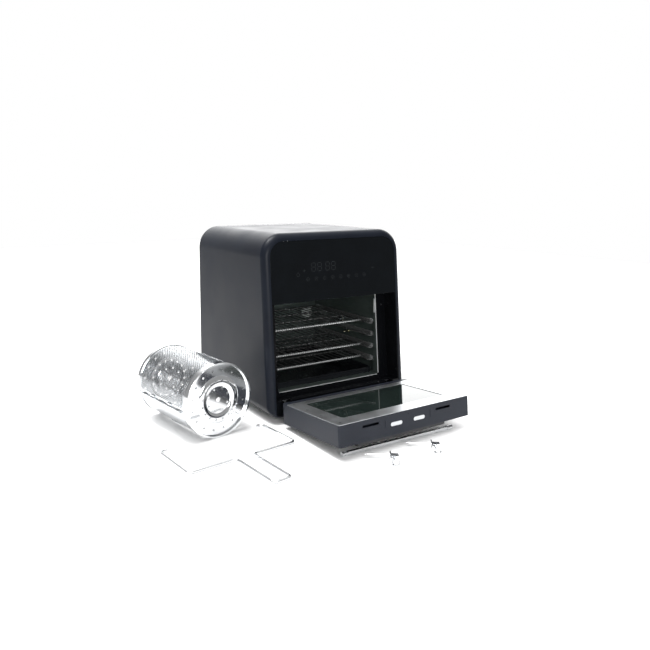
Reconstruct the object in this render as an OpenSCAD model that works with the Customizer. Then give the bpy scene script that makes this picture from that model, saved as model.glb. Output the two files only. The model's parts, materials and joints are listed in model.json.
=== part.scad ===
// Worktop rotisserie oven with a drop-down door, wire racks, a drum basket and a spit set.
// Origin: centre of the housing's footprint on the worktop. +X right, -Y front, +Z up.
// The front face leans back; parts of the front are drawn in a leaned frame (see leaned()).

/* [Housing] */
// Overall width of the housing
body_w = 330; // [290:1:400]
// Height from the worktop to the top of the housing
body_h = 360; // [320:1:440]
// Overall depth of the housing
body_d = 324; // [290:1:400]
// Angle by which the front face leans back
front_lean = 4.69; // [0:0.01:8]
// Wall thickness of the housing moulding
shell_t = 2.5; // [2:0.1:4]
// Radius of the two upper edges that run front to back
top_r = 46; // [36:1:56]
// Radius of the two lower edges that run front to back
low_r = 22; // [18:1:30]
// Rounding of the lip around the front opening
lip_r = 14; // [8:0.5:16]
// Width of the lip, from the outer wall to the front opening
lip_w = 14.6; // [14.5:0.1:24]
// Radius of the front opening's upper corners
open_r = 30; // [20:1:40]
// Height of the rubber feet
foot_h = 12; // [8:1:20]
// Diameter of a rubber foot
foot_d = 26; // [18:1:34]

/* [Front] */
// Height of the control panel along the leaning face
panel_h = 119.2; // [100:0.1:140]
// Thickness of the control panel glass
panel_t = 3; // [2:0.5:4]
// Height of the top of the sill panel along the leaning face
sill_top = 43.3; // [38:0.1:52]
// Depth of the door recess, from the front plane to the fascia
recess_d = 37; // [34:0.5:44]
// Thickness of the black front mouldings
fascia_t = 2.5; // [2:0.1:4]
// Half width of the doorway through the fascia
doorway_hw = 125; // [100:0.5:128]
// Height of the doorway's lower edge along the leaning face
doorway_z = 50; // [48:0.5:56]

/* [Door] */
// Thickness of the door
door_t = 37.7; // [32:0.1:38]
// Gap between the door and what surrounds it
door_gap = 2.1; // [2:0.1:4]
// How far the closed door stands proud of the front plane
door_proud = 1.7; // [0:0.1:3]
// Hinge axis behind the front plane
pivot_y = 8.7; // [8:0.1:10]
// Hinge axis height along the leaning face
pivot_z = 18.2; // [17:0.1:20]
// Radius of a hinge pin
pin_r = 2; // [1.5:0.1:2.5]
// Distance from the centre plane to a hinge
hinge_x = 125; // [105:1:130]
// Half width of the door window
window_hw = 117; // [90:1:118]
// Width of the metal trim below the window
trim_low = 16.2; // [12:0.1:24]
// Width of the door rail above the window
rail_top = 32.3; // [31:0.1:44]
// Half length of the handle bar
handle_hw = 100; // [70:1:120]
// Height of the handle bar
handle_h = 15.5; // [12:0.5:16]
// Depth of the finger pocket behind the handle
pocket_d = 11.2; // [8:0.2:12]

/* [Cavity] */
// Thickness of the cavity sheet
sheet_t = 1; // [0.6:0.1:1.5]
// Space between the cavity wall and the outer wall at each side
side_space = 33; // [31:0.5:50]
// Distance from the leaning front, at the foot of the control panel, back to the cavity's front edge
cavity_front = 41.41; // [41.41:0.01:51.41]
// Space between the cavity and the rear of the housing
rear_space = 24; // [24:0.5:40]
// Height of the cavity floor above the worktop
cavity_floor = 47.5; // [46.5:0.5:50]
// Height of the lowest rack above the cavity floor
first_level = 28.5; // [24:0.5:34]
// Distance from one rack level to the next
level_pitch = 27; // [27:0.5:30]
// Height of the heater pan above the cavity
heater_h = 26; // [24:1:30]
// Height of the rotisserie axis above the cavity floor
spit_height = 96; // [95:0.5:98]

/* [Racks and tray] */
// Clearance of a rack at each side of the doorway
rack_gap = 1.5; // [1:0.1:4]
// Depth of a rack
rack_d = 195; // [150:1:200]
// Radius of a rack's frame wire
frame_r = 2.2; // [1.8:0.1:2.4]
// Radius of a rack's thin wires
wire_r = 1; // [0.8:0.1:1.4]
// Number of thin wires in a rack
wire_count = 17; // [9:2:25]
// Depth of the drip tray
tray_h = 11; // [8:0.5:14]

/* [Drum basket and spit] */
// Length of the drum
drum_l = 186; // [150:1:210]
// Radius of the drum's rims
drum_r = 68; // [55:0.5:75]
// Thickness of the drum's perforated sheet
drum_t = 0.7; // [0.5:0.1:1.2]
// Width of the square spit rod
spit_w = 5.5; // [4:0.1:6]
// Radius of the spit's round ends
spit_end_r = 4; // [3.5:0.1:4]
// Length of a fork's tines
tine_l = 42; // [30:1:44]
// Radius of the lifting tool's wire
tool_r = 2.5; // [2:0.1:3]

/* [Hidden] */
$fn = 64;

// a general running gap, and a hair that makes a cut pass through a face
gap = 0.3;
eps = 0.5;

// main planes of the housing
front_y = -body_d / 2;
rear_y = body_d / 2;
half_w = body_w / 2;
inner_hw = half_w - shell_t;
inner_top = body_h - shell_t;
inner_floor = foot_h + shell_t;
lip_steps = 5;
corner_steps = 8;
// the lip's rounding is shallower along the bottom edge
low_lip = 0.25;

// heights along the leaning face
front_top = body_h / cos(front_lean);
open_top = front_top - lip_w;
open_hw = half_w - lip_w;
open_bottom = foot_h / cos(front_lean) + 4;
panel_z = open_top - panel_h;
recess_wall = 1.5;
door_hw = open_hw - recess_wall - 1;
door_bottom = sill_top + door_gap;
door_top = panel_z - door_gap;
door_face = -door_proud;
door_back = door_face + door_t;
doorway_top = panel_z - 1.4;

// door details
trim_t = 0.8;
trim_z = door_bottom + 13.4;
window_z0 = trim_z + trim_low;
window_z1 = door_top - rail_top;
glass_inset = 7;
glass_seat = 4;
outer_glass_t = 3;
outer_glass_hw = door_hw - 10.2;
outer_glass_z0 = door_bottom + 14.9;
arm_t = 6;
arm_w = 8;
arm_l = 44;
handle_z = window_z1 + 3;
handle_t = 6.5;
handle_stand = 10.3;
post_x = handle_hw - 7.5;
pocket_hw = handle_hw - 16;
rail_hollow_z = window_z1 + glass_inset + 2.5;
handle_screw_z = rail_hollow_z + 3.6;
trim_screw_x = door_hw - 12;
trim_screw_zs = [trim_z + 7, (window_z0 + window_z1) / 2 - 22, (window_z0 + window_z1) / 2 + 22, door_top - 13];

// cavity
cavity_hw = half_w - side_space;
cavity_y0 = front_y + panel_z * sin(front_lean) + cavity_front;
cavity_y1 = rear_y - rear_space;
cavity_mid_y = (cavity_y0 + cavity_y1) / 2;
cavity_top = panel_z * cos(front_lean) + 9.4;
spit_y = cavity_mid_y + 10;
spit_z = cavity_floor + spit_height - 0.5;
levels = [for (i = [0 : 3]) cavity_floor + first_level + i * level_pitch];
rack_hw = doorway_hw - rack_gap;
rack_y0 = cavity_y0 + 34.5;
runner_in = rack_hw - 4;
runner_t = 1.2;
runner_y0 = cavity_y0 + 7;
runner_y1 = cavity_y1 - 4;

// fan unit above the cavity
fan_x = 0;
fan_y = cavity_mid_y;
pan_top = cavity_top + heater_h;
shaft_r = 3;
shaft_low = cavity_top + 5;
shaft_top = pan_top + 73;
bearing_gap = 0.05;
motor_z = pan_top + 18;
motor_h = 28;
motor_r = 32;

// rotisserie drive
socket_r = 6;
collar_r = 7.5;
socket_bore = spit_end_r + 0.15;
socket_x0 = cavity_hw - 13.5;
socket_depth = 15;
motor_x0 = cavity_hw + sheet_t + 2;
motor_x1 = motor_x0 + 20;

// lamp in the cavity's rear wall, beside the rack runners
lamp_r = 14;
lamp_runner_gap = 1.5;
lamp_x = runner_in - lamp_r - lamp_runner_gap;
lamp_z = spit_z - 0.5;

// drum basket, lying on the worktop beside the oven
drum_turn = -81.6;
drum_x = -half_w - 114.5;
drum_y = front_y + 97.6;
rim_l = 9;
rim_t = 1.2;
mesh_r = drum_r - rim_t;
flap_a0 = -80;
flap_a1 = -30;
flap_end = 16;
flap_pin_r = 0.9;
flap_pin_at = drum_r + 0.6;

// spit set on the worktop in front of the door
spit_l = 2 * cavity_hw - 10;
spit_at = [-8, front_y - 182];
spit_turn = -1.36;
fork_turn = -36;
fork_one_at = [17, front_y - 236];
fork_two_at = [-74, front_y - 236];
fork_hw = 16;
fork_strip = 12;
hub_w = 12;
stud_r = 2;

// lifting tool on the worktop in front of the drum
tool_at = [-half_w - 113, front_y - 3];
tool_turn = 5.5;
tool_hw = 104;
tool_arm = 95;
tool_grip_hw = 16.5;
tool_bend_r = 8;
tool_grip = 108;

// ---------- frames and shape helpers ----------

// the frame of the leaning front: y into the oven, z along the face
module leaned() translate([0, front_y, 0]) rotate([-front_lean, 0, 0]) children();

// the door's parts are drawn closed and shown open
module door_open() leaned() translate([0, pivot_y, pivot_z]) rotate([90, 0, 0])
    translate([0, -pivot_y, -pivot_z]) children();

// a flat outline in x and z, raised along y from y0 to y1
module along_y(y0, y1) translate([0, y1, 0]) rotate([90, 0, 0]) linear_extrude(y1 - y0) children();

// a flat outline in y and z, raised along x from x0 to x1
module along_x(x0, x1) translate([x0, 0, 0]) rotate([90, 0, 90]) linear_extrude(x1 - x0) children();

// a block from its lowest to its highest corner
module block(low, high) translate(low) cube(high - low);

// round bars along each axis
module bar_x(r, x0, x1) translate([x0, 0, 0]) rotate([0, 90, 0]) cylinder(r = r, h = x1 - x0);
module bar_y(r, y0, y1) translate([0, y0, 0]) rotate([-90, 0, 0]) cylinder(r = r, h = y1 - y0);
module bar_z(r, z0, z1) translate([0, 0, z0]) cylinder(r = r, h = z1 - z0);

// a rectangle with rounded corners, given by its corners
module plate2d(x0, z0, x1, z1, r) {
    translate([x0 + r, z0]) square([x1 - x0 - 2 * r, z1 - z0]);
    translate([x0, z0 + r]) square([x1 - x0, z1 - z0 - 2 * r]);
    for (x = [x0 + r, x1 - r], z = [z0 + r, z1 - r]) translate([x, z]) circle(r = r);
}

// an upright outline with one radius for the upper corners and one for the lower
module face2d(hw, z0, z1, r_up, r_low) {
    translate([-hw, z0 + r_low]) square([2 * hw, z1 - z0 - r_low - r_up]);
    translate([-hw + r_low, z0]) square([2 * (hw - r_low), z1 - z0 - r_up]);
    translate([-hw + r_up, z0 + r_low]) square([2 * (hw - r_up), z1 - z0 - r_low]);
    for (s = [-1, 1]) {
        translate([s * (hw - r_up), z1 - r_up]) circle(r = r_up);
        translate([s * (hw - r_low), z0 + r_low]) circle(r = r_low);
    }
}

// ---------- housing ----------

function arc(cx, cz, r, a0) = [for (i = [0 : corner_steps])
    let (a = a0 + 90 * i / corner_steps) [cx + r * cos(a), cz + r * sin(a)]];

// the housing's outline, drawn in by t all round and by a further e where the lip rounds
function housing_outline(t, e) =
    let (hw = half_w - t - e, zt = body_h - t - e, zb = foot_h + t + e * low_lip,
         ru = top_r - t - e, rl = low_r - t - e)
    concat(arc(hw - ru, zt - ru, ru, 0), arc(ru - hw, zt - ru, ru, 90),
           arc(rl - hw, zb + rl, rl, 180), arc(hw - rl, zb + rl, rl, 270));

// rings of the housing skin: the rounded lip on the leaning plane, then the square rear
function housing_rings(t, back) = [for (k = [0 : lip_steps + 1])
    let (a = 90 * min(k, lip_steps) / lip_steps, e = (lip_r - t) * (1 - sin(a)),
         y = t + (lip_r - t) * (1 - cos(a)))
    [for (p = housing_outline(t, e))
        [p[0], k > lip_steps ? back : front_y + y + p[1] * tan(front_lean), p[1]]]];

module housing_skin(t, back) {
    rings = housing_rings(t, back);
    n = len(rings[0]);
    m = len(rings);
    polyhedron(
        points = [for (ring = rings) for (p = ring) p],
        faces = concat(
            [[for (i = [n - 1 : -1 : 0]) i]],
            [for (k = [0 : m - 2]) for (i = [0 : n - 1])
                [k * n + i, (k + 1) * n + (i + 1) % n, (k + 1) * n + i]],
            [for (k = [0 : m - 2]) for (i = [0 : n - 1])
                [k * n + i, k * n + (i + 1) % n, (k + 1) * n + (i + 1) % n]],
            [[for (i = [0 : n - 1]) (m - 1) * n + i]]));
}

boss_r = 5;
boss_at = [
    for (s = [-1, 1]) for (p = [[inner_hw - 4, body_h * 0.3], [inner_hw - 4, body_h * 0.72]])
        [s * p[0], p[1]],
    for (s = [-1, 1]) [s * body_w * 0.27, inner_top - 4],
    for (s = [-1, 1]) [s * body_w * 0.3, inner_floor + 4]
];
cover_y = rear_y - 8;
cover_t = 2;
foot_x = half_w - 45;
foot_ys = [front_y + 47, rear_y - 47];

module housing_shell() color("#383b43") difference() {
    union() {
        difference() {
            housing_skin(0, rear_y);
            housing_skin(shell_t, rear_y + 5);
        }
        for (p = boss_at) translate([p[0], 0, p[1]]) bar_y(boss_r, cover_y - 14, cover_y);
    }
    // front opening
    leaned() along_y(-5, lip_r + 4) face2d(open_hw, open_bottom, open_top, open_r, 4);
    // slots for the hinge arms
    for (s = [-1, 1]) leaned()
        block([s * hinge_x - arm_t / 2 - 3, -4, foot_h - 3], [s * hinge_x + arm_t / 2 + 3, 17, 20]);
    // holes for the feet's screws and the cover's screws
    for (s = [-1, 1], y = foot_ys) translate([s * foot_x, y, 0]) bar_z(2.4, foot_h - 1, inner_floor + 1);
    for (p = boss_at) translate([p[0], 0, p[1]]) bar_y(1.5, cover_y - 12, cover_y + eps);
}

vent_w = 62;
vent_slot = 3.2;
vent_pitch = 8;
gland_at = [-half_w * 0.7, foot_h + 36];
gland_r = 8;

module back_cover() color("#2f3238") difference() {
    union() {
        along_y(cover_y, cover_y + cover_t)
            face2d(inner_hw - 0.6, inner_floor + 0.6, inner_top - 0.6, top_r - shell_t, low_r - shell_t);
        // two spacers keep the rear clear of a wall
        for (s = [-1, 1]) translate([s * half_w * 0.6, 0, body_h * 0.84])
            bar_y(9, cover_y + cover_t - 0.1, rear_y);
    }
    // exhaust slots behind the fan motor, and inlet slots low down
    for (s = [-1, 1], i = [0 : 7])
        along_y(cover_y - eps, cover_y + cover_t + eps)
            plate2d(s * (vent_w / 2 + 4) - vent_w / 2, pan_top + 14 + i * vent_pitch,
                s * (vent_w / 2 + 4) + vent_w / 2, pan_top + 14 + i * vent_pitch + vent_slot, 1.5);
    for (s = [-1, 1], i = [0 : 5])
        along_y(cover_y - eps, cover_y + cover_t + eps)
            plate2d(s * (vent_w / 2 + 4) - vent_w / 2, foot_h + 28 + i * vent_pitch,
                s * (vent_w / 2 + 4) + vent_w / 2, foot_h + 28 + i * vent_pitch + vent_slot, 1.5);
    translate([gland_at[0], 0, gland_at[1]]) bar_y(gland_r + 0.2, cover_y - eps, cover_y + cover_t + eps);
    for (p = boss_at) translate([p[0], 0, p[1]]) bar_y(2, cover_y - eps, cover_y + cover_t + eps);
}

// pan-head screw along -y: head on the plane y, shank in front of it
module screw_y(y, head_r, head_h, shank_r, shank_l) {
    bar_y(shank_r, y - shank_l, y + head_h * 0.3);
    difference() {
        bar_y(head_r, y, y + head_h);
        block([-head_r * 0.6, y + head_h * 0.5, -0.4], [head_r * 0.6, y + head_h + 1, 0.4]);
        block([-0.4, y + head_h * 0.5, -head_r * 0.6], [0.4, y + head_h + 1, head_r * 0.6]);
    }
}

module back_cover_screws() color("#8d9096")
    for (p = boss_at) translate([p[0], 0, p[1]]) screw_y(cover_y + cover_t, 3.2, 2.2, 1.45, cover_t + 10);

module base_plate() color("#9a9da1") difference() {
    block([-half_w + low_r + 4, front_y + 24, inner_floor], [half_w - low_r - 4, cover_y - 18, inner_floor + 1.2]);
    for (s = [-1, 1], y = foot_ys) translate([s * foot_x, y, 0]) bar_z(2.4, inner_floor - 1, inner_floor + 2);
    for (i = [-5 : 5]) block([i * 14 - 2, cavity_mid_y - 50, inner_floor - 1],
        [i * 14 + 2, cavity_mid_y + 50, inner_floor + 2]);
}

module rubber_feet() color("#1b1c1e")
    for (s = [-1, 1], y = foot_ys) translate([s * foot_x, y, 0]) difference() {
        rotate_extrude() polygon([[0, 0], [foot_d / 2 - 2.5, 0], [foot_d / 2 - 1, 1.5],
            [foot_d / 2, foot_h], [0, foot_h]]);
        bar_z(5, -1, foot_h * 0.6);
        bar_z(2.4, foot_h * 0.5, foot_h + 1);
    }

module foot_screws() color("#8d9096")
    for (s = [-1, 1], y = foot_ys) translate([s * foot_x, y, 0]) {
        bar_z(4.5, foot_h * 0.6 - 3, foot_h * 0.6);
        bar_z(2.2, foot_h * 0.6 - 0.01, inner_floor + 8);
        bar_z(4, inner_floor + 1.2, inner_floor + 4.2);
    }

// ---------- front ----------

fascia_top = cavity_top / cos(front_lean) + 3.6;
module front_fascia() color("#15171a") difference() {
    union() {
        leaned() {
            // frame behind the door
            along_y(recess_d, recess_d + fascia_t)
                translate([-open_hw + 0.2, sill_top - 12]) square([2 * open_hw - 0.4, fascia_top - sill_top + 12]);
            // side walls of the recess
            for (s = [-1, 1]) block([min(s * (open_hw - 0.2), s * (open_hw - 0.2 - recess_wall)), 1, sill_top + 0.1],
                [max(s * (open_hw - 0.2), s * (open_hw - 0.2 - recess_wall)), recess_d + 1, panel_z]);
            // ceiling of the recess
            block([-open_hw + 0.2, 4.5, panel_z], [open_hw - 0.2, recess_d + fascia_t, panel_z + 2]);
        }
        // throat that leads back to the cavity, cut off square at the cavity's front edge
        intersection() {
            leaned() along_y(recess_d + fascia_t - 0.1, cavity_y0 - front_y + 30) difference() {
                translate([-cavity_hw - 2, doorway_z - 6]) square([2 * cavity_hw + 4, doorway_top - doorway_z + 8]);
                translate([-cavity_hw, doorway_z - 4]) square([2 * cavity_hw, doorway_top - doorway_z + 12]);
            }
            block([-half_w, front_y, 0], [half_w, cavity_y0 - gap, body_h]);
        }
    }
    leaned() along_y(recess_d - 1, recess_d + fascia_t + 1)
        plate2d(-doorway_hw, doorway_z, doorway_hw, doorway_top, 5);
    // hole for the switch plunger
    leaned() translate([switch_x, 0, switch_z]) bar_y(plunger_r + 0.3, recess_d - 1, recess_d + fascia_t + 1);
}

module sill_panel() color("#15171a") leaned() difference() {
    union() {
        along_y(0.6, 0.6 + fascia_t) face2d(open_hw - 0.4, open_bottom + 0.4, sill_top, 1.5, 3.6);
        block([-open_hw + 2.2, 1, sill_top - 2.2], [open_hw - 2.2, recess_d - gap, sill_top]);
    }
    for (s = [-1, 1]) block([s * hinge_x - 8, -1, open_bottom - 5], [s * hinge_x + 8, 16, sill_top + 1]);
}

module control_panel_glass() color("#0d0e10") leaned()
    along_y(0.3, 0.3 + panel_t) face2d(open_hw - 0.4, panel_z + 0.2, open_top - 0.4, open_r - 0.4, 1);

carrier_t = 6;
module control_carrier() color("#1b1c1e") leaned() difference() {
    along_y(0.3 + panel_t, 0.3 + panel_t + carrier_t)
        face2d(open_hw - 1.5, panel_z + 2.2, open_top - 1.5, open_r - 1.5, 1);
    along_y(0, 0.3 + panel_t + carrier_t + 1) plate2d(-70, panel_z + 45, 70, panel_z + 85, 3);
    for (s = [-1, 1]) along_y(0.3 + panel_t + 2.5, 0.3 + panel_t + carrier_t + 1)
        plate2d(s * 108 - 26, panel_z + 22, s * 108 + 26, open_top - 26, 4);
}

board_y = 0.3 + panel_t + carrier_t;
module control_board() color("#1f5a3a") leaned() {
    block([-118, board_y + gap, panel_z + 14], [118, board_y + gap + 1.6, open_top - 24]);
    // display and its frame in the carrier's window
    block([-66, 0.3 + panel_t + 1, panel_z + 48], [66, board_y + gap + 0.01, panel_z + 82]);
    // parts on the rear side
    for (i = [-3 : 3]) block([i * 30 - 8, board_y + gap + 1.59, panel_z + 30], [i * 30 + 8, board_y + 8, panel_z + 42]);
}

module power_board() color("#2a6b45") translate([-cavity_hw + 20, cavity_mid_y - 45, pan_top]) {
    block([0, 0, 6], [62, 96, 7.6]);
    for (x = [5, 57], y = [5, 91]) translate([x, y, 0]) bar_z(2.5, 0, 6.01);
    block([6, 12, 7.59], [34, 34, 26]);
    block([6, 42, 7.59], [28, 60, 24]);
    translate([46, 26, 7.59]) bar_z(7, 0, 22);
    translate([46, 50, 7.59]) bar_z(5, 0, 16);
    block([8, 72, 7.59], [54, 84, 20]);
}

bracket_gap = 0.4;
cheek_t = 1.8;
module hinge_brackets() color("#a8abae") leaned()
    for (s = [-1, 1]) translate([s * hinge_x, 0, 0]) difference() {
        union() {
            for (k = [-1, 1]) translate([k * (arm_t / 2 + bracket_gap + cheek_t / 2) - cheek_t / 2, 0, 0])
                along_x(0, cheek_t) union() {
                    translate([pivot_y, pivot_z]) circle(r = 3.8);
                    translate([pivot_y, pivot_z - 2]) square([18 - pivot_y, 10]);
                    translate([16.2, pivot_z - 2]) square([1.8, sill_top - 2.2 - pivot_z + 2]);
                }
            block([-arm_t / 2 - bracket_gap - cheek_t, 16.2, pivot_z - 2],
                [arm_t / 2 + bracket_gap + cheek_t, 18, sill_top - 2.2]);
            block([-12, 17, sill_top - 4.2], [12, recess_d - 4, sill_top - 2.2]);
        }
        translate([0, pivot_y, pivot_z]) bar_x(pin_r, -10, 10);
    }

module hinge_pins() color("#c4c7c9") leaned()
    for (s = [-1, 1]) translate([s * hinge_x, pivot_y, pivot_z])
        bar_x(pin_r, -arm_t / 2 - bracket_gap - cheek_t - 0.6, arm_t / 2 + bracket_gap + cheek_t + 0.6);

// door switch: a small case behind the fascia with a sprung plunger through it
switch_x = cavity_hw + 7;
switch_z = panel_z - 28;
plunger_r = 1.8;
plunger_travel = 2;
module door_switch() color("#26282b") leaned() difference() {
    block([switch_x - 4.5, recess_d + fascia_t, switch_z - 9], [switch_x + 4.5, recess_d + fascia_t + 12, switch_z + 9]);
    translate([switch_x, 0, switch_z]) bar_y(plunger_r + 0.3, recess_d, recess_d + fascia_t + 9);
}

module switch_plunger() color("#d8d8d4") leaned() translate([switch_x, 0, switch_z])
    bar_y(plunger_r, door_back + 0.35, recess_d + fascia_t + 9 - plunger_travel - 0.5);

// ---------- cavity ----------

// the liner's sheets meet in hairline seams, and a narrow rim frames its open front
seam = 0.02;
module cavity_liner() color("#6d7174") difference() {
    union() {
        block([-cavity_hw + seam, cavity_y0 + sheet_t + seam, cavity_floor - sheet_t],
            [cavity_hw - seam, cavity_y1 - seam, cavity_floor]);
        for (s = [-1, 1]) {
            wall = [s * cavity_hw, s * (cavity_hw + sheet_t)];
            rim = [s * cavity_hw, s * (cavity_hw + 2)];
            block([min(wall), cavity_y0 + sheet_t + seam, cavity_floor - sheet_t], [max(wall), cavity_y1 - seam, cavity_top]);
            block([min(rim), cavity_y0, cavity_floor + seam], [max(rim), cavity_y0 + sheet_t, cavity_top]);
        }
        block([-cavity_hw - sheet_t, cavity_y1, cavity_floor - sheet_t],
            [cavity_hw + sheet_t, cavity_y1 + sheet_t, cavity_top]);
        block([-cavity_hw - 2, cavity_y0, cavity_floor - 6], [cavity_hw + 2, cavity_y0 + sheet_t, cavity_floor]);
    }
    translate([0, spit_y, spit_z]) bar_x(collar_r + 1.5, cavity_hw - 1, cavity_hw + 2);
    translate([lamp_x, 0, lamp_z]) bar_y(lamp_r - 2, cavity_y1 - 1, cavity_y1 + sheet_t + 1);
    translate([0, probe_y, probe_z]) bar_x(2.2, cavity_hw - 1, cavity_hw + 2);
}

module rack_runners() color("#8b8f92")
    for (s = [-1, 1], z = levels) {
        top = z - frame_r - gap;
        xs = [s * runner_in, s * cavity_hw];
        ws = [s * (cavity_hw - runner_t), s * cavity_hw];
        block([min(xs), runner_y0, top - runner_t], [max(xs), runner_y1, top]);
        block([min(ws), runner_y0, top - 0.01], [max(ws), runner_y1, top + 7]);
    }

module cavity_supports() color("#9a9da1")
    for (s = [-1, 1]) translate([s * cavity_hw * 0.72, 0, 0]) difference() {
        block([-12, cavity_y0 + 10, inner_floor + 1.2], [12, cavity_y1 - 10, cavity_floor - sheet_t]);
        block([-10.8, cavity_y0, inner_floor + 2.4], [10.8, cavity_y1, cavity_floor - sheet_t - 1.2]);
        block([-8, cavity_y0, inner_floor + 1], [8, cavity_y1, inner_floor + 3]);
    }

lead_dx = 9;
element_r = 3.2;
element_r1 = 72;
element_r2 = 88;
element_z = cavity_top + 14;
module heater_pan() color("#a3a6a8") difference() {
    block([-cavity_hw - sheet_t, cavity_y0, cavity_top], [cavity_hw + sheet_t, cavity_y1 + sheet_t, pan_top]);
    block([-cavity_hw, cavity_y0 + sheet_t, cavity_top - 1], [cavity_hw, cavity_y1, pan_top - sheet_t]);
    translate([fan_x, fan_y, 0]) bar_z(shaft_r + 2, cavity_top, pan_top + 1);
    for (r = [element_r1, element_r2]) translate([fan_x + r, fan_y, 0]) bar_z(element_r + 1, element_z, pan_top + 1);
}

module heating_element() color("#5b5550") translate([fan_x, fan_y, element_z]) {
    // two rings joined at one end, with a lead up from the other end of each
    for (r = [element_r1, element_r2])
        rotate_extrude(angle = 340) translate([r, 0]) circle(r = element_r);
    rotate([0, 0, 340]) translate([(element_r1 + element_r2) / 2, 0, 0])
        rotate_extrude(angle = 180) translate([(element_r2 - element_r1) / 2, 0]) circle(r = element_r);
    for (r = [element_r1, element_r2]) translate([r, 0, 0]) {
        sphere(r = element_r + 0.5);
        bar_z(element_r, 0, pan_top - element_z + 12);
        bar_z(1.2, pan_top - element_z + 11.9, pan_top - element_z + 20);
    }
}

guard_t = 1;
module fan_guard() color("#8b8f92") difference() {
    block([-cavity_hw, cavity_y0 + sheet_t, cavity_top], [cavity_hw, cavity_y1, cavity_top + guard_t]);
    for (i = [0 : 23]) translate([fan_x, fan_y, 0]) rotate([0, 0, 15 * i])
        for (r = [[22, 50], [56, 96]]) block([r[0], -2.2, cavity_top - 1], [r[1], 2.2, cavity_top + 3]);
}

module motor_bracket() color("#a3a6a8") translate([fan_x, fan_y, 0]) rotate([0, 0, 90]) difference() {
    union() {
        block([-58, -14, motor_z - 2], [58, 14, motor_z]);
        for (s = [-1, 1]) {
            block([s * 58 - 1, -14, pan_top], [s * 58 + 1, 14, motor_z]);
            block([s * 64 - 7, -14, pan_top], [s * 64 + 7, 14, pan_top + 1.5]);
        }
    }
    bar_z(12, pan_top, motor_z + 1);
}

module fan_motor() color("#7b7e82") translate([fan_x, fan_y, 0]) rotate([0, 0, 90]) difference() {
    union() {
        bar_z(motor_r, motor_z, motor_z + motor_h);
        bar_z(11, motor_z - 8, motor_z + motor_h + 6);
        for (s = [-1, 1]) block([s * 34 - 10, -8, motor_z], [s * 34 + 10, 8, motor_z + 3]);
    }
    bar_z(shaft_r + bearing_gap, motor_z - 9, motor_z + motor_h + 7);
    for (a = [0 : 45 : 315]) rotate([0, 0, a]) translate([motor_r - 1, 0, 0]) bar_z(2.5, motor_z + 6, motor_z + motor_h + 1);
}

module fan_shaft() color("#c4c7c9") translate([fan_x, fan_y, 0]) {
    bar_z(shaft_r, shaft_low, shaft_top);
    bar_z(6, motor_z + motor_h + 6.5, motor_z + motor_h + 8.5);
}

module fan_blades(count, r0, r1, h, pitch) for (i = [0 : count - 1])
    rotate([0, 0, 360 * i / count]) translate([r0, 0, h / 2]) rotate([pitch, 0, 0])
        translate([0, -0.6, -h / 2]) cube([r1 - r0, 1.2, h]);

module convection_fan() color("#b4b7b9") translate([fan_x, fan_y, cavity_top + 6]) difference() {
    union() {
        bar_z(8, 0, 14);
        bar_z(54, 12.8, 14);
        fan_blades(10, 7, 52, 13, 0);
    }
    bar_z(shaft_r, -1, 15);
}

module cooling_fan() color("#34373b") translate([fan_x, fan_y, shaft_top - 14]) difference() {
    union() {
        bar_z(10, 0, 13);
        fan_blades(7, 9, 46, 12, 28);
    }
    bar_z(shaft_r, -1, 15);
}

module gear_motor() color("#b9bbb6") translate([0, spit_y, spit_z]) difference() {
    union() {
        bar_x(25, motor_x0, motor_x1);
        // two ears on stand-offs against the cavity wall
        for (s = [-1, 1]) {
            block([motor_x0, s * 28 - 7, -6], [motor_x0 + 1.5, s * 28 + 7, 6]);
            translate([0, s * 31, 0]) bar_x(3, cavity_hw + sheet_t, motor_x0 + 0.1);
        }
        // terminal box
        block([motor_x0 + 3, -9, 22], [motor_x1 - 2, 9, 32]);
    }
    bar_x(socket_r + bearing_gap, motor_x0 - 1, motor_x0 + 14);
}

module drive_bush() color("#d7d3c6") translate([0, spit_y, spit_z]) difference() {
    union() {
        bar_x(collar_r + 1.5, cavity_hw, cavity_hw + sheet_t);
        bar_x(collar_r + 4, cavity_hw + sheet_t, motor_x0);
    }
    bar_x(socket_r + bearing_gap, cavity_hw - 1, motor_x0 + 1);
}

module drive_socket() color("#b8babc") translate([0, spit_y, spit_z]) difference() {
    union() {
        bar_x(socket_r, socket_x0, motor_x0 + 13);
        bar_x(collar_r, socket_x0, cavity_hw - gap);
    }
    bar_x(socket_bore, socket_x0 - 1, socket_x0 + socket_depth);
    // cross slot that drives the spit's flat
    block([socket_x0 - 1, -collar_r - 1, -1.2], [socket_x0 + 5, collar_r + 1, 1.2]);
}

module spit_support() color("#a8abae") translate([0, spit_y, spit_z]) difference() {
    union() {
        block([-cavity_hw, -14, -8.2], [-cavity_hw + 1.2, 14, 8]);
        along_x(-cavity_hw + 1.1, -cavity_hw + 9) plate2d(-9, -8.2, 9, 6.5, 3);
    }
    bar_x(spit_end_r + 0.4, -cavity_hw + 1.2, -cavity_hw + 10);
    block([-cavity_hw + 1.2, -spit_end_r - 0.4, 0], [-cavity_hw + 10, spit_end_r + 0.4, 9]);
}

module lamp_holder() color("#c9c6bb") translate([lamp_x, 0, lamp_z]) difference() {
    bar_y(lamp_r + 3, cavity_y1 + sheet_t, cavity_y1 + sheet_t + 11);
    bar_y(lamp_r, cavity_y1, cavity_y1 + sheet_t + 9);
}

module lamp_bulb() color("#f3ead2") translate([lamp_x, 0, lamp_z]) {
    bar_y(4, cavity_y1 + sheet_t + 4, cavity_y1 + sheet_t + 9);
    translate([0, cavity_y1 + sheet_t + 3.5, 0]) sphere(r = 5.5);
}

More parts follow.
